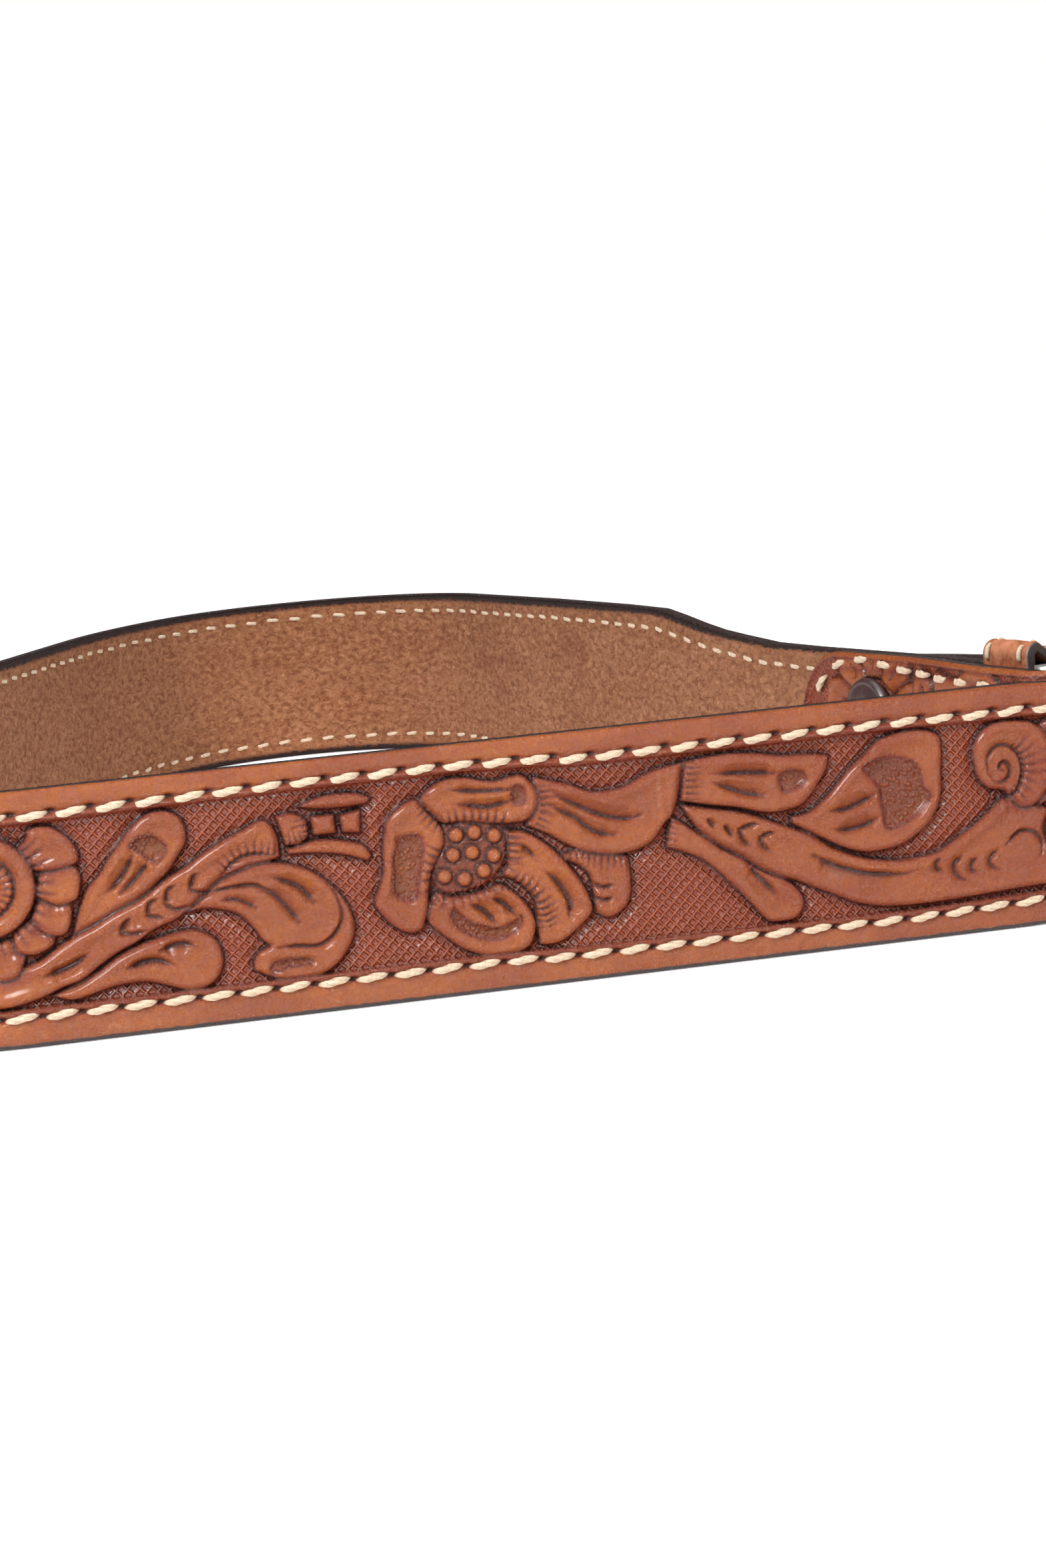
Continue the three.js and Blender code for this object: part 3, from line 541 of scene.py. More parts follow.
RIGHT_PETAL = [
    (708.8, 24), (712, 23.3), (714.8, 21.3), (717.3, 18.6), (719.2, 15.8), (720.6, 13), (721, 10.5),
    (719.8, 9.1), (718.1, 7.7), (716.2, 6.5), (714.2, 6.1), (712.6, 6.3), (712.4, 8.8), (712.3, 13),
    (711, 15), (709.4, 16.4), (707.6, 17.1), (708.7, 18.8), (709, 22),
]
S_LEAF = [
    (713.7, 31.3), (716.2, 30.5), (718.9, 29.7), (721.7, 28.4), (724.5, 28.1), (727.3, 28.6), (730.1, 29.9),
    (732.8, 30.6), (736.4, 31.1), (735.9, 28.8), (735.3, 26.1), (734.2, 23.6), (732.6, 21.9), (730.9, 19.9),
    (728.7, 18.8), (725.9, 18.4), (723.1, 18.7), (720.3, 19.4), (717.6, 20.8), (714.8, 22.7), (712, 24.1),
]
UNDER_PETAL = [
    (716, 19), (720.3, 16.6), (721.2, 13), (721.2, 10.2), (723.1, 9.1), (725.3, 9.9), (726.7, 11.6),
    (727.1, 14.4), (727, 18), (722, 20.4),
]
NARROW_LEAF = [
    (732.6, 18.6), (735.6, 17.4), (738.4, 15.8), (741.2, 13), (743.9, 9.9), (746.7, 6.3), (748.1, 5.5),
    (751.4, 5.6), (752.8, 6.9), (753.1, 8.6), (751.7, 10.8), (749.5, 12.2), (746.7, 13.6), (743.9, 15.8),
    (741.2, 17.4), (738.4, 19.7), (735.6, 21.9), (733.7, 23.3),
]
TWO_CUT_LEAF = [
    (736.4, 31.1), (739.8, 31.5), (743.9, 31.6), (748.1, 31.1), (750.9, 30.5), (756, 30.2), (758.4, 29.7),
    (758, 27.7), (756.7, 25.8), (755.1, 23.8), (753.4, 22.4), (749.5, 21.9), (746.7, 22.4), (743.9, 23.3),
    (739.8, 24.1), (735.3, 25.2),
]
LOW_STEM = [
    (735.1, 24.9), (739.8, 23.8), (745.3, 22.4), (750.9, 19.9), (754.8, 18.3), (757.6, 16.1), (760.3, 14.7),
    (763.1, 13.6), (765.9, 13), (768.7, 12.7), (771.4, 12.9), (774.2, 13.4), (777, 14.9), (779.8, 16.6),
    (782.6, 18.6), (784.8, 20.2), (788, 20.3), (792, 18), (797, 14.8), (803, 12), (803.1, 6.1), (797, 6),
    (790.6, 6.3), (779.8, 5.8), (771.4, 5.5), (765.9, 5.8), (763.1, 6.3), (760.3, 7.2), (757.6, 8.6),
    (754.8, 9.9), (752, 11.3), (749, 12.2), (743.9, 15.8), (738.4, 19.7),
]
TEAR_LEAF = [
    (752, 21.1), (754.8, 21.6), (757.6, 23.6), (759.8, 25.8), (761.7, 27.7), (763.9, 29.4), (765.9, 31.1),
    (768.7, 31.9), (771.4, 32.2), (773.9, 31.8), (775.6, 30.8), (775.9, 28.8), (775.6, 25.5), (775.5, 22.7),
    (774.8, 20.2), (773.4, 18), (771.4, 16.3), (768.7, 14.9), (765.9, 14.4), (763.1, 14.4), (760.3, 15.2),
    (757.6, 16.6), (754.8, 18.3), (752, 19.9),
]
VOLUTE = [
    (785.1, 21.3), (782.8, 21.9), (781.2, 23.6), (780.6, 26.1), (780.6, 28.3), (781.4, 29.9), (782.8, 31.3),
    (785.1, 32), (787.8, 31.9), (790.6, 31.1), (792.6, 28.8), (793.2, 25.6), (792.6, 22), (790.4, 19),
    (787.6, 18.6),
]
VOLUTE_EYE = (784.9, 24.7)
SHAPES = (
    LOWER_LEAF, LOOP_LEAF, LOW_STEM, LONG_STEM, CURL_LEAF, *SCROLL_PETALS, *BOW_PARTS, UNDER_PETAL,
    NARROW_LEAF, S_LEAF, TWO_CUT_LEAF, TEAR_LEAF, VOLUTE, RIGHT_PETAL, LOWER_PETAL, TOP_PETAL, LEFT_PETAL,
)
# Cuts: points, half-width and depth
WIDE_CUT = (0.85, 1.0)
THIN_CUT = (0.5, 0.7)
LINE_CUT = (0.42, 0.7)
CUTS = (
    (WIDE_CUT, [(654.8, 26.1), (653.9, 24.4), (652, 22.2), (650.1, 21.1)]),
    (WIDE_CUT, [(657, 24.9), (655.6, 23.3), (653.7, 21.6), (652, 20.5)]),
    (WIDE_CUT, [(641.2, 10.5), (644.8, 11.6), (647.8, 13.3)]),
    (THIN_CUT, [(652, 15.2), (652.6, 16.6), (653.9, 17.6)]),
    (THIN_CUT, [(652, 15.2), (654, 15.1), (656.2, 15.5)]),
    (THIN_CUT, [(656, 17.4), (656.4, 19.1), (658.1, 19.9)]),
    (THIN_CUT, [(656, 17.4), (657.3, 17.1), (658.7, 16.9)]),
    (THIN_CUT, [(658.8, 18.8), (659.2, 20.8), (660.9, 21.6)]),
    (THIN_CUT, [(658.8, 18.8), (660.1, 17.9), (662.6, 18.3)]),
    (THIN_CUT, [(662.4, 20.5), (663.1, 22.4), (664.2, 22.7)]),
    (THIN_CUT, [(662.4, 20.5), (663.8, 20), (665.3, 19.9)]),
    (LINE_CUT, [(667.3, 22.2), (669, 23.7), (671.5, 24.6), (676, 23.9)]),
    (LINE_CUT, [(674.2, 10.6), (677, 10.5), (680.1, 10.2), (682, 11.1), (683.4, 12.7), (683.9, 14.4),
                (683.5, 16.6), (682.6, 18.6), (680.3, 20.8)]),
    (LINE_CUT, [(665, 19.7), (668.1, 20.2), (671.4, 20.2), (674.2, 18.8), (676, 18)]),
    (WIDE_CUT, [(680.1, 16.3), (678.4, 18.6), (676.2, 19.9), (673.7, 21.3)]),
    (WIDE_CUT, [(677.6, 13.7), (675.9, 16.3), (674.2, 18.3), (672, 19.4)]),
    (THIN_CUT, [(671.7, 16.6), (668.9, 18.1), (665.9, 18.3)]),
    (WIDE_CUT, [(657.6, 12.2), (659.8, 12.9), (661.7, 12.6), (662.7, 11.8)]),
    (WIDE_CUT, [(652.8, 10.2), (655.1, 10.9), (657, 10.8), (659.8, 9.4)]),
    (WIDE_CUT, [(709.8, 29.7), (705.3, 29.9), (702.6, 30.4), (700.6, 30.8)]),
    (WIDE_CUT, [(709.8, 27.9), (706.7, 27.4), (703.9, 27.9), (701.4, 28.6)]),
    (WIDE_CUT, [(706.3, 10.3), (704.8, 12.1), (703.4, 13.2), (702.2, 13.8)]),
    (WIDE_CUT, [(709.2, 11.2), (707.8, 12.9), (706.5, 13.8), (705.4, 14.2)]),
    (WIDE_CUT, [(717.3, 10.2), (717.6, 11.9), (716.7, 14.1), (715.3, 16.1), (713.7, 17.4)]),
    (THIN_CUT, [(711.2, 21.4), (712.3, 20.4), (713, 19)]),
    (WIDE_CUT, [(729.1, 23.7), (727.3, 23.4), (725.1, 23.8), (722.6, 24.7), (720.1, 26.1), (717.6, 27.7),
                (715.1, 29.9)]),
    (WIDE_CUT, [(725.1, 21.3), (723.1, 21.6), (721.2, 22.7), (719.5, 24.4), (717.6, 25.5), (714.8, 27.7)]),
    (THIN_CUT, [(721.4, 14.6), (722.8, 13.9), (724.6, 14.2)]),
    (THIN_CUT, [(721.5, 12.4), (722.8, 12), (724.2, 12.2)]),
    (WIDE_CUT, [(745.1, 14.4), (746.7, 12.4), (748.1, 10.8), (749.2, 9.1)]),
    (WIDE_CUT, [(749.8, 27.7), (748.1, 28), (743.9, 28.4), (740.1, 28.8)]),
    (WIDE_CUT, [(748.1, 24.5), (745.3, 25.2), (742.6, 26.3), (739.8, 27.7)]),
    (THIN_CUT, [(740.1, 20.8), (739.4, 21.8), (739, 22.4)]),
    (THIN_CUT, [(742.8, 19.1), (741.9, 20.4), (741.4, 21.3)]),
    (THIN_CUT, [(743.9, 20.2), (745.7, 20.7), (747.3, 20.5)]),
    (THIN_CUT, [(743.9, 20.2), (744.6, 18.3), (745.9, 16.9)]),
    (THIN_CUT, [(747, 18.6), (748.2, 19.1), (749.5, 19.1)]),
    (THIN_CUT, [(747, 18.6), (747.7, 17), (748.9, 15.8)]),
    (WIDE_CUT, [(755.1, 14.9), (757.6, 13.3), (760.3, 12.2), (763.1, 11.3), (765.9, 10.9), (768.7, 10.6),
                (771.4, 11.1)]),
    (THIN_CUT, [(774.5, 12.2), (773.8, 11.2), (775, 9.7)]),
    (THIN_CUT, [(777.9, 12.2), (776.7, 10.8), (777.3, 9.1), (779.2, 8)]),
    (THIN_CUT, [(780.2, 11.6), (779.4, 10.2), (780.5, 8.8)]),
    (THIN_CUT, [(783.6, 12.4), (782.4, 11), (782.9, 9.9), (784.2, 9.1)]),
    (LINE_CUT, [(785, 13.2), (787.2, 15), (789.6, 14.6), (790.8, 13), (790.6, 11.2), (789, 9.9)]),
    (LINE_CUT, [(793.4, 18.6), (791.9, 16.4), (791.6, 13.8), (792.1, 11.6), (793.4, 9.8)]),
    (WIDE_CUT, [(765.1, 19.1), (763.1, 18.3), (760.3, 18), (757.8, 18.6)]),
    (WIDE_CUT, [(764.8, 22.7), (762.3, 21.6), (760.1, 21.1), (757.3, 21.3)]),
    (LINE_CUT, [(784, 20.2), (786, 20.5), (787.6, 22.1), (788.2, 24.6), (787.5, 27), (785.8, 28.15),
                (784, 27.9), (782.9, 26.35), (782.9, 24.3), (783.7, 22.9), (785, 22.7)]),
    (LINE_CUT, [(785.2, 24.3), (784.6, 24.8), (784.9, 25.6), (785.7, 25.8), (786.4, 24.9), (786.2, 23.5),
                (785, 22.7), (783.7, 22.9), (782.9, 24.3)]),
)
HOLLOWS = (
    [(655.1, 28.6), (656.2, 29.1), (657.8, 29.1), (659.8, 27.4), (659.9, 26.1), (658.4, 24.7), (657, 25.2),
     (655.1, 26.9), (654.2, 27.7)],
    [(672.6, 7.7), (673.7, 8.7), (677, 8.8), (679.2, 8.3), (678.7, 7.3), (675.3, 7.2), (673.1, 6.6)],
    [(692.8, 24.7), (692.6, 23.3), (691.9, 22.2), (691.7, 19.9), (691.4, 17.2), (692, 15.8), (693.1, 14.9),
     (695.3, 15.2), (695.8, 18), (696.8, 22), (696.4, 24.7)],
    [(710.1, 27.6), (712.2, 27.4), (712.3, 30), (710.4, 30.5)],
    [(699.6, 12.4), (700.3, 10.4), (702.6, 8.6), (705.3, 7.7), (708, 7.9), (710.2, 9.4), (710.4, 11.4),
     (709, 10.5), (706.8, 9.8), (703.9, 10.5), (701.9, 11.8), (700.5, 13.4)],
    [(750.3, 27.4), (752.3, 28.3), (754.5, 27.7), (754.8, 26.3), (753.1, 24.9), (750.9, 24.7)],
    [(763.1, 27.2), (765.1, 28.3), (767.6, 28.6), (770.1, 28.1), (771.7, 27.2), (772.6, 25.5), (772.8, 23.6),
     (773.9, 21.9), (770.9, 18.6), (766.7, 17.2), (765.9, 19.9), (765.3, 24.1)],
)
VEINS = (
    (-2.4, [(676, 23.9), (671.5, 24.6), (669, 23.7), (667.3, 22.2)]),
    (2.8, [(676.5, 25.2), (678.7, 25.4), (680.2, 26.3), (680, 29)]),
    (-2.8, [(714.2, 8.8), (713.7, 10.2), (712.5, 13), (710.3, 14.9), (708, 15.6)]),
    (-2.6, [(716.5, 19.8), (720.3, 19.2), (723.1, 18.5), (727.2, 18)]),
    (-3.0, [(736.1, 25.4), (736.4, 28.4), (736.6, 31)]),
    (-1.8, [(710.3, 14), (708.4, 15), (705.3, 15.1), (699.8, 15.1), (697.4, 13.8)]),
    (-2.4, [(712.4, 8.8), (712.3, 13), (711, 15), (709.4, 16.4)]),
    (-3.0, [(708.7, 18.8), (709, 22), (709, 24)]),
    (2.8, [(714.4, 29.8), (714.5, 26.5), (713.4, 24.2)]),
    (2.4, [(735, 25), (733.4, 22.5), (732.4, 19)]),
    (-2.2, [(696.9, 29), (698.6, 26.8), (700, 25.6)]),
)
SEEDS = (
    (701.6, 24), (704.3, 24.1), (707.2, 23.3), (700.9, 21.1), (703.75, 21.2), (706.9, 20.4), (699.4, 18.1),
    (702.3, 17.4), (705.25, 18.3),
)
SEED_RADIUS = 1.15
SEED_GROUND = [
    (699.8, 25.5), (704, 25.8), (708.8, 24.7), (709, 22), (708.4, 19.2), (706.4, 16.9), (704, 15.8),
    (700, 15.2), (697.8, 16.6), (697.8, 19.3), (699.5, 22.5),
]


def strap_chart():
    chart = Chart(CHART_START, CHART_PERIOD, STRAP_WIDTH, CHART_PERIOD)
    for shape in SHAPES:
        chart.raise_shape(shape)
    chart.raise_shape(arc(SCROLL_EYE, SCROLL_RADIUS, 0, 350, 24))
    chart.flatten(SEED_GROUND, -0.6)
    chart.veins(SEED_GROUND, 2.8, pitch=1.1, depth=0.36)
    chart.veins(arc(SCROLL_EYE, SCROLL_RADIUS, 75, -285, 30), 3.6, pitch=1.25, depth=0.32)
    chart.veins(arc(SCROLL_EYE, 4.6, -170, 170, 20), 2.6, pitch=1.2, depth=0.3)
    chart.cut(arc(SCROLL_EYE, 4.6, -170, 170, 20), *LINE_CUT, 0.2)
    chart.veins(arc(VOLUTE_EYE, 3.2, 60, -120, 12), 4.2, pitch=0.8, depth=0.3)
    for reach, points in VEINS:
        chart.veins(points, reach)
    for (width, depth), points in CUTS:
        chart.cut(points, width, depth)
    for hollow in HOLLOWS:
        chart.sink(hollow)
    for x, y in SEEDS:
        chart.seed(x, y, SEED_RADIUS)
    chart.finish()
    return chart


# The tab's tooling: a flower round the snap, two scrolls and two long leaves
SNAP_DISTANCE = 48.0
SNAP_RISE = 2.0
SNAP_Z = MIDDLE_Z + TAB_RISE + SNAP_RISE
TAB_LOW = MIDDLE_Z + TAB_RISE - HALF_NARROW
TAB_PETALS = 9
TAB_SCROLLS = ((32.0, 26.6), (32.0, 13.2))
TAB_LEAF = [(3, 26.2), (7, 31), (14, 31.6), (20, 29.6), (27, 30.6), (27.5, 25), (22, 22.8), (14, 24.6)]
TAB_LEAF_CUTS = (
    [(8, 27.5), (13, 28.4), (19, 26.6), (24, 26.4)],
    [(8, 11.7), (13, 10.8), (19, 12.6), (24, 12.8)],
)
TAB_PETAL_NEAR, TAB_PETAL_FAR, TAB_PETAL_WIDTH = 6.2, 15.5, 8.4
TAB_PETAL_CUT = (8, 10, 12)


def petal_outline(eye, angle, near, far, wide):
    rows = ((near, 0.5), (near + (far - near) * 0.55, 0.95), (far - 0.9, 0.72), (far, 0.25))
    right = [(r, -wide / 2 * share) for r, share in rows]
    left = [(r, wide / 2 * share) for r, share in reversed(rows)]
    cos, sin = math.cos(angle), math.sin(angle)
    return [(eye[0] + r * cos - w * sin, eye[1] + r * sin + w * cos) for r, w in right + left]


def tab_chart():
    """The tab's chart, across it from the height of its lower edge."""
    chart = Chart(0, TAB_LENGTH, NARROW_WIDTH + 1)

    def lowered(points):
        return [(x, y - TAB_LOW) for x, y in points]

    middle = MIDDLE_Z + TAB_RISE
    mirrored = [(x, 2 * middle - y) for x, y in TAB_LEAF][::-1]
    for leaf in (TAB_LEAF, mirrored):
        chart.raise_shape(lowered(leaf))
    for points in TAB_LEAF_CUTS:
        chart.cut(lowered(points), *WIDE_CUT)
    eye = (SNAP_DISTANCE, SNAP_Z)
    for i in range(TAB_PETALS):
        angle = 2 * math.pi * (i + 0.25) / TAB_PETALS
        petal = petal_outline(eye, angle, TAB_PETAL_NEAR, TAB_PETAL_FAR, TAB_PETAL_WIDTH)
        chart.raise_shape(lowered(petal))
        ray = [(eye[0] + r * math.cos(angle), eye[1] + r * math.sin(angle)) for r in TAB_PETAL_CUT]
        chart.cut(lowered(ray), *THIN_CUT)
    for scroll in TAB_SCROLLS:
        chart.raise_shape(lowered(arc(scroll, 3.2, 0, 345, 16)))
        chart.sink(lowered(arc(scroll, 1.0, 0, 330, 10)), 0.6)
    chart.cut(lowered([(1.3, 8), (1.3, 31)]), 0.5, 0.5, 0)
    chart.finish()
    return chart


STRAP_CHART = strap_chart()
TAB_CHART = tab_chart()


# Stitch rows and border
TAB_ROW_IN = 3.1
TAB_LINE_IN = 1.1


def row_inset(c, top):
    """How far inside the edge the outer face's stitches run."""
    c = np.asarray(c, float)
    if top:
        loop = np.interp(c, TOP_ROW_AT, TOP_ROW_IN)
    else:
        loop = np.interp(c, BOTTOM_ROW_AT, BOTTOM_ROW_IN)
    return np.where(c < 0, TAB_ROW_IN, loop)


def stitch_phase(c, top):
    """Distance along the belt to the nearest gap between two stitches of a row."""
    first = FIRST_TOP_STITCH if top else FIRST_BOTTOM_STITCH
    turned = (c - first) / STITCH_PITCH
    return (turned - np.floor(turned) - 0.5) * STITCH_PITCH


def edge_features(c, z, half):
    """Border of the tooled face: relief and darkening beside the stitch rows, partly dye and partly painted
    shade and shadow, and how much field is left.
    """
    relief, dye_and_shade = np.zeros(c.shape), np.zeros(c.shape)
    field = np.ones(c.shape)
    on_tab = c < 0
    on_belt = np.where(on_tab, 0, 1)
    for top in (True, False):
        edge = half - (z if top else -z)
        row = row_inset(c, top)
        line = np.where(on_tab, TAB_LINE_IN, row + LINE_INSIDE_ROW)
        phase = stitch_phase(c, top)
        inner = smooth(-0.28, 0.28, edge - line)
        field = np.minimum(field, inner)
        groove = np.exp(-(((edge - row) / 0.75) ** 2))
        relief -= 0.22 * groove
        pit_side = 0.42 if top else 0.0
        pit = np.exp(-((phase / 0.85) ** 2) - ((edge - row + pit_side) / 0.48) ** 2)
        bridge = np.exp(-((phase / 1.3) ** 4) - ((edge - row - 0.45) / 0.34) ** 2)
        relief += on_belt * (0.3 * bridge - 0.75 * pit)
        # Painted shadow: a dark line beside the thread with no relief under it; painted shade in the stitch
        # holes, the row's groove and the border line
        beside = np.exp(-(((edge - row - 0.72) / 0.2) ** 2))
        dye_and_shade = np.maximum(dye_and_shade, np.maximum(on_belt * pit, 0.4 * groove))
        dye_and_shade = np.maximum(dye_and_shade, 0.55 * beside * on_belt)
        near_line = np.exp(-(((edge - line) / 0.3) ** 2))
        relief -= 0.16 * near_line
        dye_and_shade = np.maximum(dye_and_shade, 0.6 * near_line)
    return relief, dye_and_shade, field


# The front stretch, which the photo shows, has the crosshatching as relief
FRONT_FROM, FRONT_TO = 626.0, 797.0
HATCH_PITCH = 1.22
HATCH_DEPTH = 0.13


def hatch_ridges(c, t):
    """Where the ground's crossing ridges stand, from 0 to 1."""
    ways = []
    for sign in (1, -1):
        turned = (c + sign * t) / (math.sqrt(2) * HATCH_PITCH)
        ways.append(1 - np.abs(2 * (turned - np.floor(turned)) - 1))
    return smooth(0.5, 0.12, np.minimum(*ways))


# Worn spots: middle along and up, and reach along and up; a crease across the face beside them
SCUFF_SPOTS = ((650, 2.0, 1.7, 0.8), (732.2, 26, 0.35, 3.6), (731.2, 24, 0.25, 1.6))
CREASE_AT, CREASE_REACH = 733.7, 0.14
CREASE_LOW, CREASE_HIGH = 6, 30


def face_relief(c, z, half):
    """Relief in millimetres and the shader's masks at places on the tooled face."""
    t = z + MIDDLE_Z
    tab_s = -c - FOLD_RUN
    on_tab = c < -FOLD_RUN * 0.5
    tab_t = z + HALF_NARROW
    values = {}
    for name in ("height", "ground", "hollow", "dye_and_shade"):
        strap = STRAP_CHART.sample(getattr(STRAP_CHART, name), c, t)
        tab = TAB_CHART.sample(getattr(TAB_CHART, name), tab_s, tab_t)
        values[name] = np.where(on_tab, tab, strap)
    fine = (c > FRONT_FROM) & (c < FRONT_TO)
    values["height"] = values["height"] - HATCH_DEPTH * fine * values["ground"] * (1 - hatch_ridges(c, t))
    border, border_dye_and_shade, field = edge_features(c, z, half)
    fade = np.clip(np.minimum(half - np.abs(z), 1.5) / 1.5, 0, 1)
    relief = (values["height"] * field + border) * fade
    values["height"] = np.clip(relief, DEEPEST, 0.15)
    values["ground"] *= field
    values["hollow"] *= field
    # The chart's and the border's darkening: dye together with painted shade
    values["dye_and_shade"] = np.maximum(values["dye_and_shade"] * field, border_dye_and_shade)
    scuff = 0.5 * np.exp(-(((c - CREASE_AT) / CREASE_REACH) ** 2)) * (t > CREASE_LOW) * (t < CREASE_HIGH)
    for s0, t0, reach_s, reach_t in SCUFF_SPOTS:
        scuff = np.maximum(scuff, np.exp(-(((c - s0) / reach_s) ** 2) - ((t - t0) / reach_t) ** 2))
    values["scuff"] = scuff
    return values


# Meshes
def new_object(name, mesh, material):
    mesh.materials.append(material)
    piece = bpy.data.objects.new(name, mesh)
    bpy.context.collection.objects.link(piece)
    return piece


def add_attribute(mesh, name, values):
    values = np.asarray(values, np.float32)
    kind = "FLOAT_VECTOR" if values.ndim == 2 else "FLOAT"
    attribute = mesh.attributes.new(name, kind, "POINT")
    attribute.data.foreach_set("vector" if values.ndim == 2 else "value", values.ravel())


def tube_faces(rings, around, caps=True):
    i, j = np.meshgrid(np.arange(rings - 1), np.arange(around), indexing="ij")
    following = (j + 1) % around
    quads = np.stack([i * around + j, (i + 1) * around + j, (i + 1) * around + following,
                      i * around + following], axis=-1).reshape(-1, 4)
    faces = quads.tolist()
    if caps:
        faces.append(list(range(around)))
        faces.append([(rings - 1) * around + k for k in reversed(range(around))])
    return faces


def smooth_mesh(name, points, faces):
    mesh = bpy.data.meshes.new(name)
    mesh.from_pydata(points, [], faces)
    mesh.shade_smooth()
    return mesh


def grid_normals(points):
    """Normals of rings of points whose first and last rings are spare ones."""
    along = points[2:] - points[:-2]
    around = np.roll(points, -1, axis=1) - np.roll(points, 1, axis=1)
    normal = np.cross(along, around[1:-1])
    return normal / np.maximum(np.linalg.norm(normal, axis=-1, keepdims=True), 1e-12)


def with_spares(c, before, after):
    """Stations with a spare one at each end for the normals, all kept on the belt."""
    spare = np.concatenate([[before], c, [after]])
    return np.clip(spare, COURSE_START + 1e-3, COURSE_END - 1e-3)


def belt_mesh(name, spare, z, q):
    """A closed mesh along the belt from sections (z from the middle, q), of which both ends are spare."""
    points = place(spare[:, None], middle_height(spare)[:, None] + z, q)
    rings = points[1:-1]
    mesh = smooth_mesh(name, rings.reshape(-1, 3), tube_faces(*rings.shape[:2]))
    mesh.normals_split_custom_set_from_vertices(grid_normals(points).reshape(-1, 3))
    st = np.stack([np.broadcast_to(spare[:, None], z.shape), z + MIDDLE_Z, q], axis=-1)[1:-1]
    add_attribute(mesh, "st", st.reshape(-1, 3))
    return mesh


EDGE_ROUND = 1.3
EDGE_COLUMNS = (0.0, 0.03, 0.11, 0.25, 0.45, 0.7, 1.0)
SIDE_DEPTHS = (1.6, 2.0, 2.45, 2.8)
TOP_DYE = (0.7, 1.3)
LOW_DYE = (1.15, 0.5)
TOP_WORN = 0.75
WORN_FROM = (560, 620)
WORN_TO = (800, 860)


def across_columns(step, wide):
    """Shares of the face's width that its columns stand at, between the rounded edges."""
    return np.linspace(0, 1, max(int(round(wide / step)), 4) + 1)


def front_share(c):
    """How much a place belongs to the front run, whose upper edges are worn and rolled inward."""
    return smooth(*WORN_FROM, c) * (1 - smooth(*WORN_TO, c))


def strap_section(c, step):
    """Places (z from the middle, q) of one section of tooled leather, with its masks."""
    half = half_width(c)[:, None]
    shares = across_columns(step, 2 * half.max())[None, :]
    turn = np.minimum(EDGE_ROUND, half * 0.3)
    near_edge = np.array(EDGE_COLUMNS)[None, :] * turn / EDGE_ROUND
    face = (-half + turn) + shares * 2 * (half - turn)
    worn = TOP_WORN * front_share(c)[:, None]
    z = np.concatenate([-half + near_edge, face, (half - near_edge)[:, ::-1]], axis=1)
    edge = half - np.abs(z)
    inner = np.clip(1 - edge / turn, 0, 1)
    drop = turn * (1 - np.sqrt(np.clip(1 - inner**2, 0, 1)))
    along = np.broadcast_to(c[:, None], z.shape)
    values = face_relief(along, z, np.broadcast_to(half, z.shape))
    q = TOOLED_FAR - drop + values["height"]
    depth = np.array(SIDE_DEPTHS)[None, :]
    bulge = 0.12 * np.sin(math.pi * depth / TOOLED_THICKNESS) * np.minimum(1, half / 4)
    side_z = half - 0.12 * np.minimum(1, half / 4) + bulge
    side_q = np.broadcast_to(TOOLED_FAR - depth, side_z.shape)
    back_z = half * np.array([0.96, 0.5, 0.0, -0.5, -0.96])[None, :]
    back_q = np.full(back_z.shape, TOOLED_NEAR)
    shorter = np.clip(z - half + 4, 0, 4) / 4 * worn
    z_all = np.concatenate([z - shorter, side_z - worn, back_z, -side_z[:, ::-1]], axis=1)
    q_all = np.concatenate([q, side_q, back_q, side_q[:, ::-1]], axis=1)
    plain = z_all.shape[1] - z.shape[1]
    masks = {}
    for name in ("ground", "hollow", "dye_and_shade", "scuff"):
        masks[name] = np.pad(values[name], ((0, 0), (0, plain)))
    buried = TOOLED_FAR - q_all
    rim = smooth(*TOP_DYE, buried)
    face_rim = rim[:, :z.shape[1]] * smooth(1.2, 0.4, edge)
    rim[:, :z.shape[1]] = np.where(z < 0, smooth(*LOW_DYE, edge), face_rim)
    masks["edge"] = rim
    return z_all, q_all, masks


def strap_piece(name, c, step, material):
    """One stretch of tooled leather on its stations, with columns a step apart across it."""
    spare = with_spares(c, 2 * c[0] - c[1], 2 * c[-1] - c[-2])
    z, q, masks = strap_section(spare, step)
    mesh = belt_mesh(name, spare, z, q)
    for key, values in masks.items():
        add_attribute(mesh, key, values[1:-1].ravel())
    piece = new_object(name, mesh, material)
    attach(piece, "root")
    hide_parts("strap")


def end_stations(kind, step):
    """Stations that crowd towards a round or pointed end."""
    if kind == "tab":
        angles = np.linspace(0.02, math.pi / 2, 40)
        rounds = TAB_LENGTH - HALF_NARROW + HALF_NARROW * np.cos(angles)
        straight = np.arange(TAB_LENGTH - HALF_NARROW - step, 0, -step)
        return -FOLD_RUN - np.concatenate([rounds, straight])
    shares = 1 - (1 - np.linspace(0, 1, 60)) ** 1.8
    point = COURSE_END - POINT_LENGTH + (POINT_LENGTH - POINT_BLUNT) * shares
    straight = np.arange(LOOP_LENGTH, COURSE_END - POINT_LENGTH, step)
    return np.concatenate([straight, point])


FRONT_STEP = 0.18
REST_STEP = 0.6
TAB_STEP = 0.36
BUCKLE_END_TO = 60.0
STRETCHES = (
    ("strap_front_left", FRONT_FROM, 683.0, FRONT_STEP),
    ("strap_front_middle", 683.0, 740.0, FRONT_STEP),
    ("strap_front_right", 740.0, FRONT_TO, FRONT_STEP),
    ("strap_left_side", 440.0, FRONT_FROM, REST_STEP),
    ("strap_back_left", 250.0, 440.0, REST_STEP),
    ("strap_back", BUCKLE_END_TO, 250.0, REST_STEP),
)


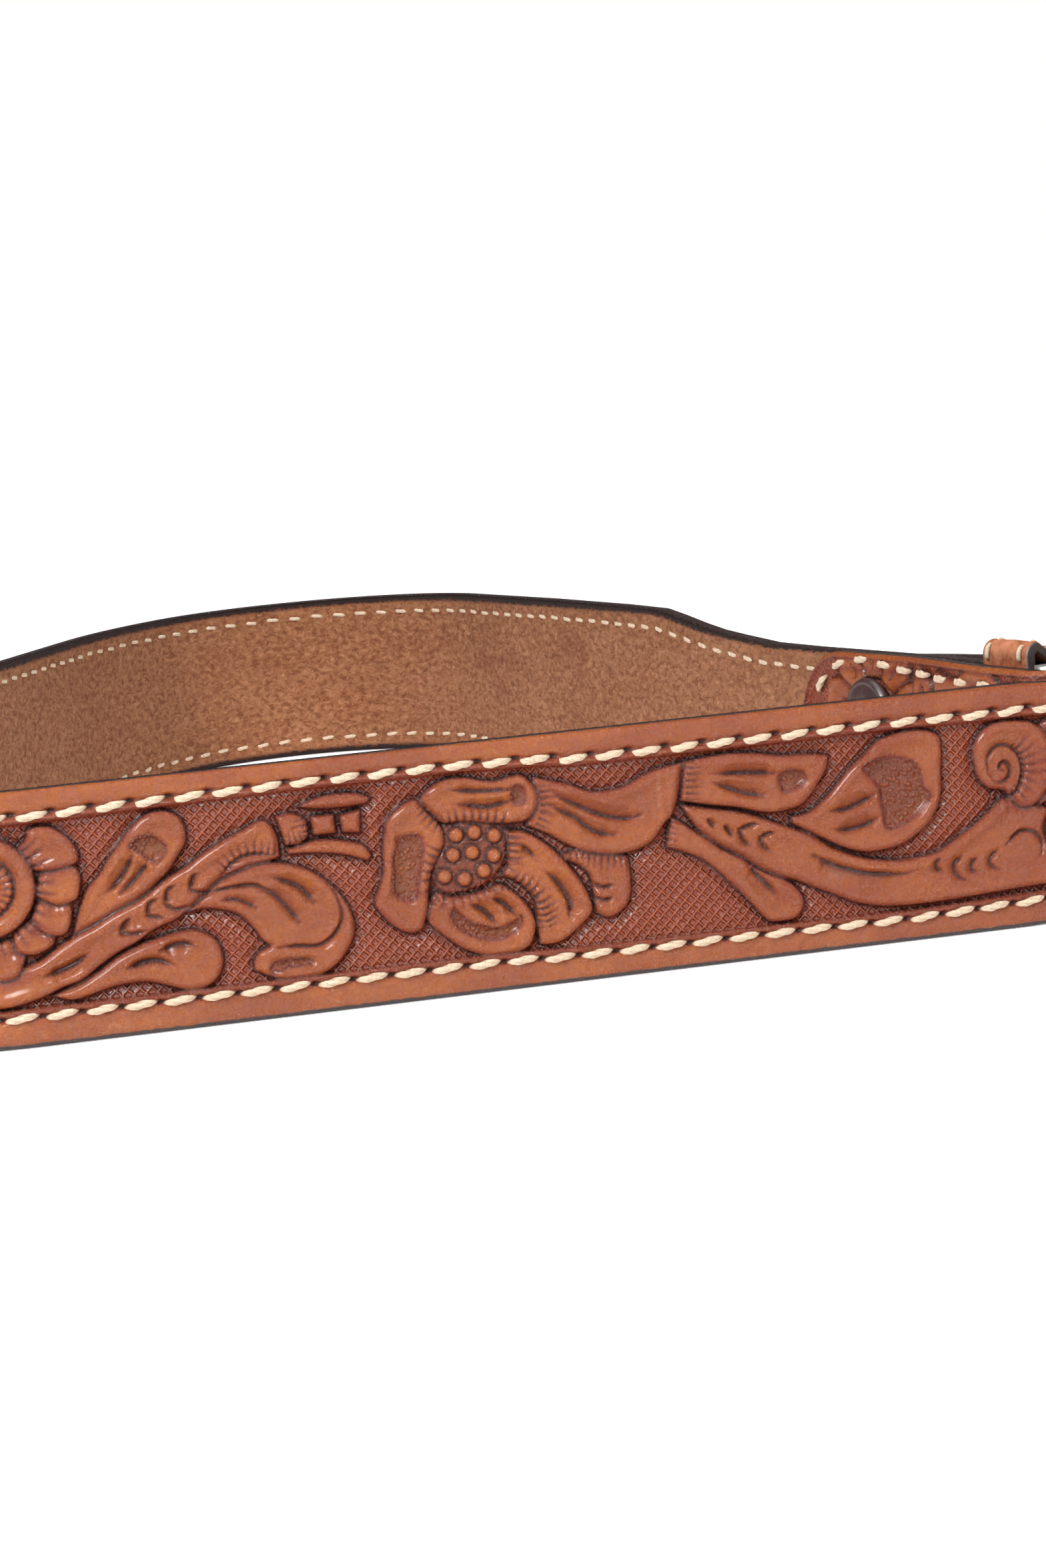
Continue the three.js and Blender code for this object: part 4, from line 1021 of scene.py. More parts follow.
def make_strap(material):
    for name, start, end, step in STRETCHES:
        strap_piece(name, np.linspace(start, end, int(round((end - start) / step)) + 1), step, material)
    fold = np.linspace(-FOLD_RUN, 0, 28)
    near = np.linspace(0, BUCKLE_END_TO, 120)[1:]
    stations = np.concatenate([end_stations("tab", 0.4), fold, near])
    strap_piece("strap_buckle_end", stations, TAB_STEP, material)
    free = np.concatenate([np.linspace(FRONT_TO, LOOP_LENGTH, 160)[:-1], end_stations("tip", REST_STEP)])
    strap_piece("strap_free_end", free, REST_STEP, material)


# Lining
LINING_ACROSS = 1.0
LINING_ALONG = 1.9
LINING_END_STEP = 1.2
LINING_WORN = 1.2


def wander(x, y, seed):
    """Smooth, repeatable unevenness between -1 and 1."""
    rng = np.random.default_rng(seed)
    total = np.zeros(np.broadcast(x, y).shape)
    for _ in range(7):
        fx, fy = rng.normal(0, 1, 2)
        total = total + np.sin(x * fx + y * fy + rng.uniform(0, 6.28))
    return total / 7


def lining_stations():
    """Stations of the lining, closer together in the fold and in the climb over the tab."""
    return np.concatenate([
        end_stations("tab", LINING_END_STEP)[2:],
        np.linspace(-FOLD_RUN, 0, 20),
        np.arange(1, LOOP_LENGTH - 16, LINING_ALONG),
        np.linspace(LOOP_LENGTH - 15.5, LOOP_LENGTH, 34)[:-1],
        end_stations("tip", LINING_END_STEP)[:-2],
    ])


def make_lining(material):
    c = lining_stations()
    spare = with_spares(c, c[0] - 0.01, c[-1] + 0.01)
    half = half_width(spare)[:, None]
    edge = half - np.minimum(LINING_INSET, half * 0.1)
    shares = across_columns(LINING_ACROSS, STRAP_WIDTH)[None, :]
    face_z = edge * (1 - 2 * shares)
    lower_top = LINING_WORN * front_share(spare)[:, None]
    face_z = face_z - lower_top * np.clip(face_z - edge + 5, 0, 5) / 5
    near = edge - np.abs(face_z) - lower_top * (face_z > 0)
    along = np.broadcast_to(spare[:, None], face_z.shape)
    nap = 0.05 * wander(along * 1.4, face_z * 1.4, 3) + 0.07 * wander(along * 0.25, face_z * 0.3, 4)
    thread_pull = np.exp(-(((near - LINING_ROW_IN) / 0.8) ** 2))
    rounding = np.clip(1 - near / 0.7, 0, 1) ** 2 * 0.5
    q_face = LINING_FAR + 0.22 * thread_pull + rounding + nap * np.clip(near, 0, 1)
    back_z = edge * np.linspace(-0.98, 0.9, 5)[None, :]
    z = np.concatenate([face_z, back_z], axis=1)
    q = np.concatenate([q_face, np.full(back_z.shape, LINING_NEAR)], axis=1)
    mesh = belt_mesh("lining_suede", spare, z, q)
    from_edge = np.broadcast_to(half - np.abs(z), z.shape)[1:-1]
    add_attribute(mesh, "inset", from_edge.ravel())
    piece = new_object("lining_suede", mesh, material)
    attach(piece, "root")
    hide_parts("lining")


# Stitches
STITCH_TURNS = 1.1
STITCH_STRANDS = 3
STITCH_LEAN = 8.5
STITCH_SUNK = 0.16
OUTER_ROW_FROM = 10.0
OUTER_ROW_SHORT_OF_TIP = 4.0
NARROWEST_ROW = 0.6
FRONT_THREAD_TO = 800.0
LINING_ROW_FROM = 8.0
LINING_ROW_SHORTER = 26.0
LINING_STITCH_LENGTH = 3.7


def stitch_points(places, sides, steps, radius, out):
    """Twisted stitches: rows of (c, z, q, angle, length) become tubes lying on the surface."""
    c0, z0, q0, angle, length = (np.asarray(v, float)[:, None, None] for v in zip(*places))
    x = np.linspace(-1, 1, steps)[None, :, None]
    theta = round_angles(sides)[None, None, :]
    full = np.clip(1 - np.abs(x) ** 2.2, 0.0, 1) ** 0.6
    twist = 1 + 0.13 * np.cos(STITCH_STRANDS * theta + 2 * math.pi * STITCH_TURNS * x)
    r = radius * (0.24 + 0.8 * full) * twist
    lift = radius * (1.3 * (1 - np.abs(x) ** 3) - 0.95)
    side = r * np.sin(theta)
    run = length / 2 * x
    c = c0 + np.cos(angle) * run - np.sin(angle) * side
    z = z0 + np.sin(angle) * run + np.cos(angle) * side
    q = q0 + out * (lift + r * np.cos(theta) * 0.9)
    return place(c, z, q)


def stitch_mesh(name, rows, material, sides, steps, radius, out=1):
    points = stitch_points(rows, sides, steps, radius, out)
    count = len(rows)
    faces = []
    one = tube_faces(steps, sides)
    if out > 0:
        one = [face[::-1] for face in one]
    for k in range(count):
        start = k * steps * sides
        faces.extend([[start + v for v in face] for face in one])
    mesh = smooth_mesh(name, points.reshape(-1, 3), faces)
    x = np.linspace(-1, 1, steps)[:, None]
    shares = np.broadcast_to(np.abs(x)[None], (count, steps, sides))
    add_attribute(mesh, "end", shares.ravel())
    theta = round_angles(sides)[None, :]
    strand = 0.5 + 0.5 * np.cos(STITCH_STRANDS * theta + 2 * math.pi * STITCH_TURNS * x)
    add_attribute(mesh, "strand", np.broadcast_to(strand[None], (count, steps, sides)).ravel())
    piece = new_object(name, mesh, material)
    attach(piece, "root")


def outer_rows(start, end):
    """Stitches of both rows of the outer face whose middles lie between two places."""
    rows = []
    rng = np.random.default_rng(12)
    for top in (True, False):
        first = FIRST_TOP_STITCH if top else FIRST_BOTTOM_STITCH
        low = math.ceil((OUTER_ROW_FROM - first) / STITCH_PITCH)
        high = int((COURSE_END - OUTER_ROW_SHORT_OF_TIP - first) / STITCH_PITCH)
        for k in range(low, high):
            c = first + k * STITCH_PITCH
            jitter = rng.uniform(-1, 1, 3)
            if not start <= c < end:
                continue
            sign = 1 if top else -1
            heights = [float(half_width(v) - row_inset(v, top)) for v in (c - 1, c, c + 1)]
            if heights[1] < NARROWEST_ROW:
                continue
            slope = math.atan2(sign * (heights[2] - heights[0]), 2)
            z = MIDDLE_Z + sign * heights[1] - 0.08
            angle = slope + math.radians(STITCH_LEAN + 2 * jitter[0])
            q = TOOLED_FAR - STITCH_SUNK + 0.04 * jitter[1]
            rows.append((c + 0.08 * jitter[2], z, q, angle, STITCH_LENGTH))
    return rows


def lining_rows():
    rows = []
    rng = np.random.default_rng(15)
    for sign in (1, -1):
        for k in range(int((LOOP_LENGTH - LINING_ROW_SHORTER) / STITCH_PITCH)):
            c = LINING_ROW_FROM + k * STITCH_PITCH
            jitter = rng.uniform(-1, 1, 3)
            heights = [float(half_width(v)) - LINING_ROW_IN for v in (c - 1, c + 1)]
            slope = math.atan2(sign * (heights[1] - heights[0]), 2)
            z = MIDDLE_Z + sign * sum(heights) / 2 + 0.12 * jitter[0]
            angle = slope + math.radians(5 * sign + 3 * jitter[1])
            rows.append((c, z, LINING_FAR + 0.3, angle, LINING_STITCH_LENGTH + 0.25 * jitter[2]))
    return rows


# Middles of the tab's stitches above its middle, from the photo: distance from the bar and height
TAB_STITCHES = (
    (64.9, 25.9), (58.8, 29.9), (51.4, 31.2), (44.2, 30.6), (38.2, 29.9), (31.4, 29.6), (24.6, 29.2),
    (16.9, 29.2), (9.1, 29.3), (1.8, 29.4),
)
TAB_END_STITCH = 67.6
TAB_STITCH_LENGTH = 4.4


def tab_rows():
    """The tab's stitches, up one side, round its end and down the other."""
    middle = MIDDLE_Z + TAB_RISE
    below = [(s, 2 * middle - z) for s, z in TAB_STITCHES]
    ring = [*reversed(TAB_STITCHES), (TAB_END_STITCH, middle), *below]
    rows = []
    for i, (s, z) in enumerate(ring):
        before = ring[max(i - 1, 0)]
        after = ring[min(i + 1, len(ring) - 1)]
        angle = math.atan2(after[1] - before[1], -(after[0] - before[0]))
        rows.append((-FOLD_RUN - s, z, TOOLED_FAR - 0.1, angle, TAB_STITCH_LENGTH))
    return rows


def make_thread(material):
    front = outer_rows(FRONT_FROM, FRONT_THREAD_TO)
    stitch_mesh("thread_front", front, material, 14, 24, THREAD_RADIUS)
    rest = outer_rows(BUCKLE_END_TO, FRONT_FROM) + outer_rows(FRONT_THREAD_TO, COURSE_END)
    stitch_mesh("thread_outer", rest, material, 8, 12, THREAD_RADIUS)
    near = outer_rows(OUTER_ROW_FROM, BUCKLE_END_TO)
    stitch_mesh("thread_buckle_end", near, material, 8, 12, THREAD_RADIUS)
    stitch_mesh("thread_lining", lining_rows(), material, 6, 9, 0.46, out=-1)
    stitch_mesh("thread_tab", tab_rows(), material, 14, 22, 0.62)


# Keeper
KEEPER_START = 5.0
KEEPER_WIDTH = 12.5
KEEPER_THICKNESS = 2.2
KEEPER_HEADROOM = 2.2
KEEPER_SETTLED = 0.3
KEEPER_FALLEN_BY = 1.4
KEEPER_CORNER = 4.2
KEEPER_NEAR_CORNER = 1.5
KEEPER_ROW_AT = 4.4
KEEPER_NEAR = LINING_FAR - CLEARANCE
KEEPER_FAR = OVERLAY + TOOLED_FAR + CLEARANCE


def bar_place(s, q, z):
    x, y = bar_point(s, q)
    x, y, z = np.broadcast_arrays(x + SHIFT[0], y + SHIFT[1], z)
    return np.stack([x, y, z], axis=-1) * MM


def keeper_path(steps_per_corner=12):
    """Middle line of the keeper's band round the strap: q, z and the direction out of the band."""
    thick = KEEPER_THICKNESS / 2
    low_q, high_q = KEEPER_NEAR - thick, KEEPER_FAR + thick
    tall = HALF_NARROW + KEEPER_HEADROOM + thick
    settled = HALF_NARROW + KEEPER_SETTLED + thick
    corners = ((high_q, settled, 0, KEEPER_CORNER), (KEEPER_FALLEN_BY, settled, None, 0),
               (low_q, tall, 90, KEEPER_NEAR_CORNER), (low_q, -tall, 180, KEEPER_NEAR_CORNER),
               (high_q, -tall, 270, KEEPER_CORNER))
    rows = []
    for q, z, start, radius in corners:
        if start is None:
            rows.append((q, MIDDLE_Z + z, 0.0, 1.0))
            continue
        inner_q = q - math.copysign(radius, q)
        inner_z = z - math.copysign(radius, z)
        for a in np.radians(np.linspace(start, start + 90, steps_per_corner)):
            rows.append((inner_q + radius * math.cos(a), MIDDLE_Z + inner_z + radius * math.sin(a),
                         math.cos(a), math.sin(a)))
    rows = np.array(rows)
    filled = []
    for a, b in zip(rows, np.roll(rows, -1, axis=0)):
        gap = np.hypot(*(b[:2] - a[:2]))
        steps = max(1, int(gap / 1.2))
        for k in range(steps):
            filled.append(a + (b - a) * k / steps)
    return np.array(filled)


def keeper_section(count=56):
    """Rounded section of the band: across its width and out of it."""
    angles = round_angles(count)
    cos, sin = np.cos(angles), np.sin(angles)
    across = np.sign(cos) * np.abs(cos) ** 0.15 * KEEPER_WIDTH / 2
    out = np.sign(sin) * np.abs(sin) ** 0.3 * KEEPER_THICKNESS / 2
    return across, out


def make_keeper(leather, thread):
    path = keeper_path()
    across, out = keeper_section()
    s = KEEPER_START + KEEPER_WIDTH / 2 + across[None, :]
    crease = 0.16 * np.exp(-(((np.abs(across) - KEEPER_ROW_AT) / 0.5) ** 2)) * (out > 0.5)
    grow = (out - crease)[None, :]
    q = path[:, 0:1] + path[:, 2:3] * grow
    z = path[:, 1:2] + path[:, 3:4] * grow
    points = bar_place(np.broadcast_to(s, q.shape), q, z)
    rings, around = points.shape[:2]
    faces = tube_faces(rings + 1, around, caps=False)
    faces = [[v % (rings * around) for v in face] for face in faces]
    mesh = smooth_mesh("keeper_band", points.reshape(-1, 3), faces)
    run = run_along(path[:, :2])
    st = np.stack(np.broadcast_arrays(run[:, None], across[None, :], grow), axis=-1)
    add_attribute(mesh, "st", st.reshape(-1, 3))
    rim = smooth(0.93, 0.99, np.abs(across) / (KEEPER_WIDTH / 2))
    add_attribute(mesh, "edge", np.broadcast_to(rim[None, :], q.shape).ravel())
    piece = new_object("keeper_band", mesh, leather)
    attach(piece, "root")
    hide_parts("keeper")
    keeper_stitches(path, run, thread)


def keeper_stitches(path, run, material, pitch=3.5, length=2.4, radius=0.42, sides=10, steps=12):
    total = run[-1]
    faces, points = [], []
    one = tube_faces(steps, sides)
    for row in (-KEEPER_ROW_AT, KEEPER_ROW_AT):
        for k in range(int(total / pitch)):
            middle = (k + 0.5) * pitch
            x = np.linspace(-1, 1, steps)
            at = middle + x * length / 2
            q, z, oq, oz = (np.interp(at, run, path[:, i]) for i in range(4))
            theta = round_angles(sides)
            r = radius * (1 - 0.75 * np.abs(x) ** 4)
            lift = KEEPER_THICKNESS / 2 - 0.12 + radius * (0.9 - 1.1 * np.abs(x) ** 4)
            side = r[:, None] * np.sin(theta)[None, :]
            grow = lift[:, None] + r[:, None] * np.cos(theta)[None, :]
            s = KEEPER_START + KEEPER_WIDTH / 2 + row + side
            start = len(points) * steps * sides
            faces.extend([[start + v for v in face] for face in one])
            points.append(bar_place(s, q[:, None] + oq[:, None] * grow, z[:, None] + oz[:, None] * grow))
    mesh = smooth_mesh("thread_keeper", np.concatenate([p.reshape(-1, 3) for p in points]), faces)
    shares = np.broadcast_to(np.abs(np.linspace(-1, 1, steps))[None, :, None], (len(points), steps, sides))
    add_attribute(mesh, "end", shares.ravel())
    add_attribute(mesh, "strand", np.ones(len(mesh.vertices)))
    piece = new_object("thread_keeper", mesh, material)
    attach(piece, "root")


# Snap
CAP_DIAMETER = 13.0
CAP_HEIGHT = 2.5
CAP_PROFILE = (
    (0.0, 0.93), (0.2, 0.94), (0.45, 0.93), (0.62, 0.88), (0.74, 0.8), (0.8, 0.74), (0.84, 0.73),
    (0.88, 0.76), (0.93, 0.72), (0.975, 0.58), (1.0, 0.38), (0.99, 0.16), (0.94, 0.02), (0.5, 0.0),
)
CAP_SIDES = 72


def make_snap_cap(material):
    low, high = (np.array(corner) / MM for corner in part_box("snap_cap"))
    middle = (low + high) / 2
    inward = -np.array([math.sin(math.radians(START_HEADING)), -math.cos(math.radians(START_HEADING))])
    x, y = bar_point(SNAP_DISTANCE, TAB_OFFSET - TOOLED_FAR - CLEARANCE / 2)
    base = np.array([x + SHIFT[0], y + SHIFT[1]])
    side = np.array([-inward[1], inward[0]])
    points, faces = [], []
    rows = [row for row in CAP_PROFILE if row[0] > 0]
    for out, high_share in rows:
        for k in range(CAP_SIDES):
            a = 2 * math.pi * k / CAP_SIDES
            r = out * CAP_DIAMETER / 2
            xy = base + inward * CAP_HEIGHT * high_share + side * r * math.cos(a)
            points.append((xy[0] * MM, xy[1] * MM, (middle[2] + r * math.sin(a)) * MM))
    for i in range(len(rows) - 1):
        for k in range(CAP_SIDES):
            n = (k + 1) % CAP_SIDES
            ring, after = i * CAP_SIDES, (i + 1) * CAP_SIDES
            faces.append([ring + k, ring + n, after + n, after + k])
    faces.append(list(reversed(range(CAP_SIDES))))
    faces.append([(len(rows) - 1) * CAP_SIDES + k for k in range(CAP_SIDES)])
    mesh = smooth_mesh("snap_cap_domed", points, faces)
    piece = new_object("snap_cap_domed", mesh, material)
    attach(piece, "root")
    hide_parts("snap_cap")


# Buckle
FRAME_LENGTH = 30.0
FRAME_LIFT = 1.0
RAIL_WIDTH = 4.5
RAIL_THICKNESS = 3.5
RAIL_MIDDLE = HALF_NARROW + 1.0 + RAIL_WIDTH / 2
FAR_CORNER = 6.8
BAR_CORNER = ((2.6, HALF_NARROW + 0.6), (3.7, HALF_NARROW + 1.8), (5.7, HALF_NARROW + 3.0))
RAIL_NARROWED = 0.55
PRONG_DIAMETER = 3.0
PRONG_OVERHANG = 3.0
PRONG_ROWS = ((0, 0), (0.14, 0.2), (0.27, 0.52), (0.38, 0.87), (0.5, 1.05), (0.7, 1.06), (1, 1))


def end_rail_offset():
    """How far out the frame's end rail lies so that it clears the strap beneath it."""
    c = LOOP_LENGTH - np.array([FRAME_LENGTH - RAIL_WIDTH / 2, FRAME_LENGTH, FRAME_LENGTH + RAIL_WIDTH / 2])
    x, y = centre(c)
    ox, oy = outward(c)
    a = math.radians(START_HEADING)
    face = (x + ox * TOOLED_FAR) * math.sin(a) - (y + oy * TOOLED_FAR) * math.cos(a)
    return face.max() + FRAME_LIFT + RAIL_THICKNESS / 2


BUCKLE_RISE = end_rail_offset() + FOLD_RADIUS
BUCKLE_TILT = math.atan2(BUCKLE_RISE, FRAME_LENGTH)
BUCKLE_REACH = math.hypot(BUCKLE_RISE, FRAME_LENGTH)


def buckle_place(ahead, out, up):
    """World points from places on the tilted frame: ahead of the bar, out of it and up."""
    heading = math.radians(START_HEADING) + math.pi + BUCKLE_TILT
    x0, y0 = bar_point(0, -FOLD_RADIUS)
    x = x0 + ahead * math.cos(heading) + out * math.sin(heading) + SHIFT[0]
    y = y0 + ahead * math.sin(heading) - out * math.cos(heading) + SHIFT[1]
    x, y, z = np.broadcast_arrays(x, y, MIDDLE_Z + up)
    return np.stack([x, y, z], axis=-1) * MM


def frame_path():
    """Middle line of the frame from one end of the bar round to the other."""
    far, high = BUCKLE_REACH - FAR_CORNER, RAIL_MIDDLE
    half = list(rounded(BAR_CORNER + ((8.0, high),), False, 170, 5))
    half += arc((far, high - FAR_CORNER), FAR_CORNER, 90, 0, 14)
    half += [(BUCKLE_REACH, 4.0)]
    return np.array(half + [(x, -y) for x, y in half[::-1]])


def filled_path(points, step=1.1):
    out = []
    for a, b in zip(points[:-1], points[1:]):
        count = max(1, int(np.linalg.norm(b - a) / step))
        out.extend(a + (b - a) * k / count for k in range(count))
    return np.array(out + [points[-1]])


def swept(path, wide, thick, power, sides=28):
    """Places (ahead, out, up) of a rail of rounded section along a path of (ahead, up)."""
    way = directions(path)
    angles = round_angles(sides)
    cos, sin = np.cos(angles), np.sin(angles)
    across = np.sign(cos) * np.abs(cos) ** power * np.broadcast_to(wide, len(path))[:, None] / 2
    out = np.sign(sin) * np.abs(sin) ** power * thick / 2
    ahead = path[:, 0:1] + way[:, 1:2] * across
    up = path[:, 1:2] - way[:, 0:1] * across
    return ahead, np.broadcast_to(out, ahead.shape), up


def rounded_ends(points):
    """Two more rings at each end, drawn in to close a rod with a soft edge."""
    first, last = points[0].mean(axis=0), points[-1].mean(axis=0)
    start = [first + (points[0] - first) * share for share in (0.05, 0.8)]
    end = [last + (points[-1] - last) * share for share in (0.8, 0.05)]
    return np.concatenate([np.array(start), points, np.array(end)])


def prong_points(sides=20, steps=64):
    """Rings of the prong: it rises over the end rail and narrows to a round nose."""
    top = RAIL_THICKNESS / 2 + PRONG_DIAMETER / 2 - CLEARANCE
    rise = BUCKLE_RISE + top
    rows = [(-before * FRAME_LENGTH, -FOLD_RADIUS + out * rise) for before, out in PRONG_ROWS]
    rows.append((-FRAME_LENGTH - PRONG_OVERHANG, -FOLD_RADIUS + rise - CLEARANCE))
    line = rounded(rows, False, 170, 12)
    run = run_along(line)
    at = np.linspace(0, 1, steps) ** 0.9 * run[-1]
    s, q = (np.interp(at, run, line[:, i]) for i in (0, 1))
    way = directions(np.stack([s, q], axis=1))
    nose = np.sqrt(np.clip(1 - (np.clip(at - run[-1] + 1.4, 0, 1.4) / 1.45) ** 2, 0, 1))
    radius = PRONG_DIAMETER / 2 * nose * (1 - 0.12 * at / run[-1])
    angles = round_angles(sides)
    out = radius[:, None] * np.cos(angles)[None, :]
    up = radius[:, None] * np.sin(angles)[None, :]
    return bar_place(s[:, None] - way[:, 1:2] * out, q[:, None] + way[:, 0:1] * out, MIDDLE_Z + up)


def make_buckle(material):
    """The frame with softly rounded rails, its bar and its prong, in one piece."""
    path = filled_path(frame_path())
    wide = RAIL_WIDTH * (RAIL_NARROWED + (1 - RAIL_NARROWED) * smooth(1, 8, path[:, 0]))
    rails = buckle_place(*swept(path, wide, RAIL_THICKNESS, 0.62))
    bar_end = HALF_NARROW + 0.7
    bar_line = np.array([(0.0, z) for z in np.linspace(bar_end, -bar_end, 24)])
    bar = buckle_place(*swept(bar_line, BAR_DIAMETER, BAR_DIAMETER, 1.0, 20))
    points, faces = [], []
    for rings in (rounded_ends(rails), rounded_ends(bar), prong_points()):
        start = sum(len(part) for part in points)
        faces.extend([[start + v for v in face] for face in tube_faces(*rings.shape[:2])])
        points.append(rings.reshape(-1, 3))
    mesh = smooth_mesh("buckle_rounded", np.concatenate(points), faces)
    piece = new_object("buckle_rounded", mesh, material)
    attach(piece, "root")
    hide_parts("buckle")


# Materials
class Nodes:
    """Builds a node material with short calls."""

    def __init__(self, name):
        self.material = bpy.data.materials.new(name)
        self.material.use_nodes = True
        self.tree = self.material.node_tree
        self.shader = self.tree.nodes["Principled BSDF"]

    def node(self, kind, **settings):
        made = self.tree.nodes.new(kind)
        for key, value in settings.items():
            setattr(made, key, value)
        return made

    def feed(self, socket, value):
        if isinstance(value, bpy.types.NodeSocket):
            self.tree.links.new(value, socket)
        else:
            socket.default_value = value

    def math(self, operation, a, b, clamp=False):
        made = self.node("ShaderNodeMath", operation=operation, use_clamp=clamp)
        self.feed(made.inputs[0], a)
        self.feed(made.inputs[1], b)
        return made.outputs[0]

    def times(self, a, b):
        return self.math("MULTIPLY", a, b)

    def split(self, vector):
        made = self.node("ShaderNodeSeparateXYZ")
        self.feed(made.inputs[0], vector)
        return made.outputs

    def attribute(self, name, output="Fac"):
        return self.node("ShaderNodeAttribute", attribute_name=name).outputs[output]

    def mapping(self, vector, scale):
        made = self.node("ShaderNodeMapping")
        self.feed(made.inputs["Vector"], vector)
        made.inputs["Scale"].default_value = scale
        return made.outputs[0]

    def noise(self, vector, scale, detail=4.0, roughness=0.55):
        made = self.node("ShaderNodeTexNoise")
        self.feed(made.inputs["Vector"], vector)
        made.inputs["Scale"].default_value = scale
        made.inputs["Detail"].default_value = detail
        made.inputs["Roughness"].default_value = roughness
        return made.outputs[0]

    def cells(self, vector, scale):
        made = self.node("ShaderNodeTexVoronoi")
        self.feed(made.inputs["Vector"], vector)
        made.inputs["Scale"].default_value = scale
        return made.outputs["Distance"]

    def between(self, value, low, high, to_low=0.0, to_high=1.0):
        made = self.node("ShaderNodeMapRange", interpolation_type="SMOOTHSTEP")
        for socket, number in zip(made.inputs, (value, low, high, to_low, to_high)):
            self.feed(socket, number)
        return made.outputs[0]

    def blend(self, share, a, b):
        made = self.node("ShaderNodeMix", data_type="RGBA")
        self.feed(made.inputs[0], share)
        self.feed(made.inputs[6], a)
        self.feed(made.inputs[7], b)
        return made.outputs[2]

    def bump(self, height, distance, normal=None):
        made = self.node("ShaderNodeBump")
        made.inputs["Strength"].default_value = 1.0
        made.inputs["Distance"].default_value = distance
        self.feed(made.inputs["Height"], height)
        if normal is not None:
            self.feed(made.inputs["Normal"], normal)
        return made.outputs[0]

    def set(self, name, value):
        self.feed(self.shader.inputs[name], value)


def colour(red, green, blue):
    """A linear colour from 8-bit screen values."""
    linear = [((v / 255 + 0.055) / 1.055) ** 2.4 if v > 10 else v / 255 / 12.92 for v in (red, green, blue)]
    return (*linear, 1.0)


LEATHER = colour(134, 62, 10)
# Paler tone: random lighter patches, and a painted highlight on the hatch ridges
LEATHER_LIGHT = colour(155, 81, 18)
# Redder tone: random mottle, the redder stretch of the belt, and painted shade of the sunk ground and the
# cuts
LEATHER_RED = colour(118, 36, 8)
# Dark red-brown of the antique dye and the pores, also used as painted shade in the sunk squares, the
# pebbled hollows and the cuts
LEATHER_DYE_AND_SHADE = colour(40, 8, 8)
EDGE_BLACK = colour(46, 29, 26)
SCUFF_TAN = colour(190, 130, 92)
SUEDE = colour(163, 104, 69)
SUEDE_LIGHT = colour(192, 136, 98)
SUEDE_DARK = colour(120, 68, 44)
SUEDE_STAIN = colour(124, 54, 42)
THREAD_CREAM = colour(198, 181, 155)
# Darker thread tone, for the darker fibres and for the painted shade between strands and at the stitch ends
THREAD_SHADE = colour(140, 104, 72)
KEEPER_TAN = colour(172, 110, 76)
SNAP_PLUM = colour(46, 26, 28)
STEEL = colour(196, 192, 186)
BRASS = colour(170, 140, 90)
FLOOR_WHITE = colour(250, 250, 250)
FLOOR_COOL = colour(247, 247, 248)
METAL_DULL = colour(150, 140, 128)
ENAMEL_WORN = colour(86, 58, 58)
# Where along the belt the leather turns redder, the suede paler and its dark border narrower
REDDER_FROM, REDDER_TO = 690.0, 800.0
PALER_FROM, PALER_TO = 118.0, 92.0
BORDER_NARROW_AT, BORDER_FULL_AT = 60.0, 190.0


def hatch(n, st):
    """Crosshatching: fine ridges both ways round sunk squares."""
    along, across = n.split(st)[:2]
    ways = []
    for sign in ("ADD", "SUBTRACT"):
        turned = n.times(n.math(sign, along, across), 1 / (math.sqrt(2) * HATCH_PITCH))
        ways.append(n.times(n.math("PINGPONG", turned, 0.5), 2.0))
    low = n.math("MINIMUM", *ways)
    return n.between(low, 0.5, 0.12)


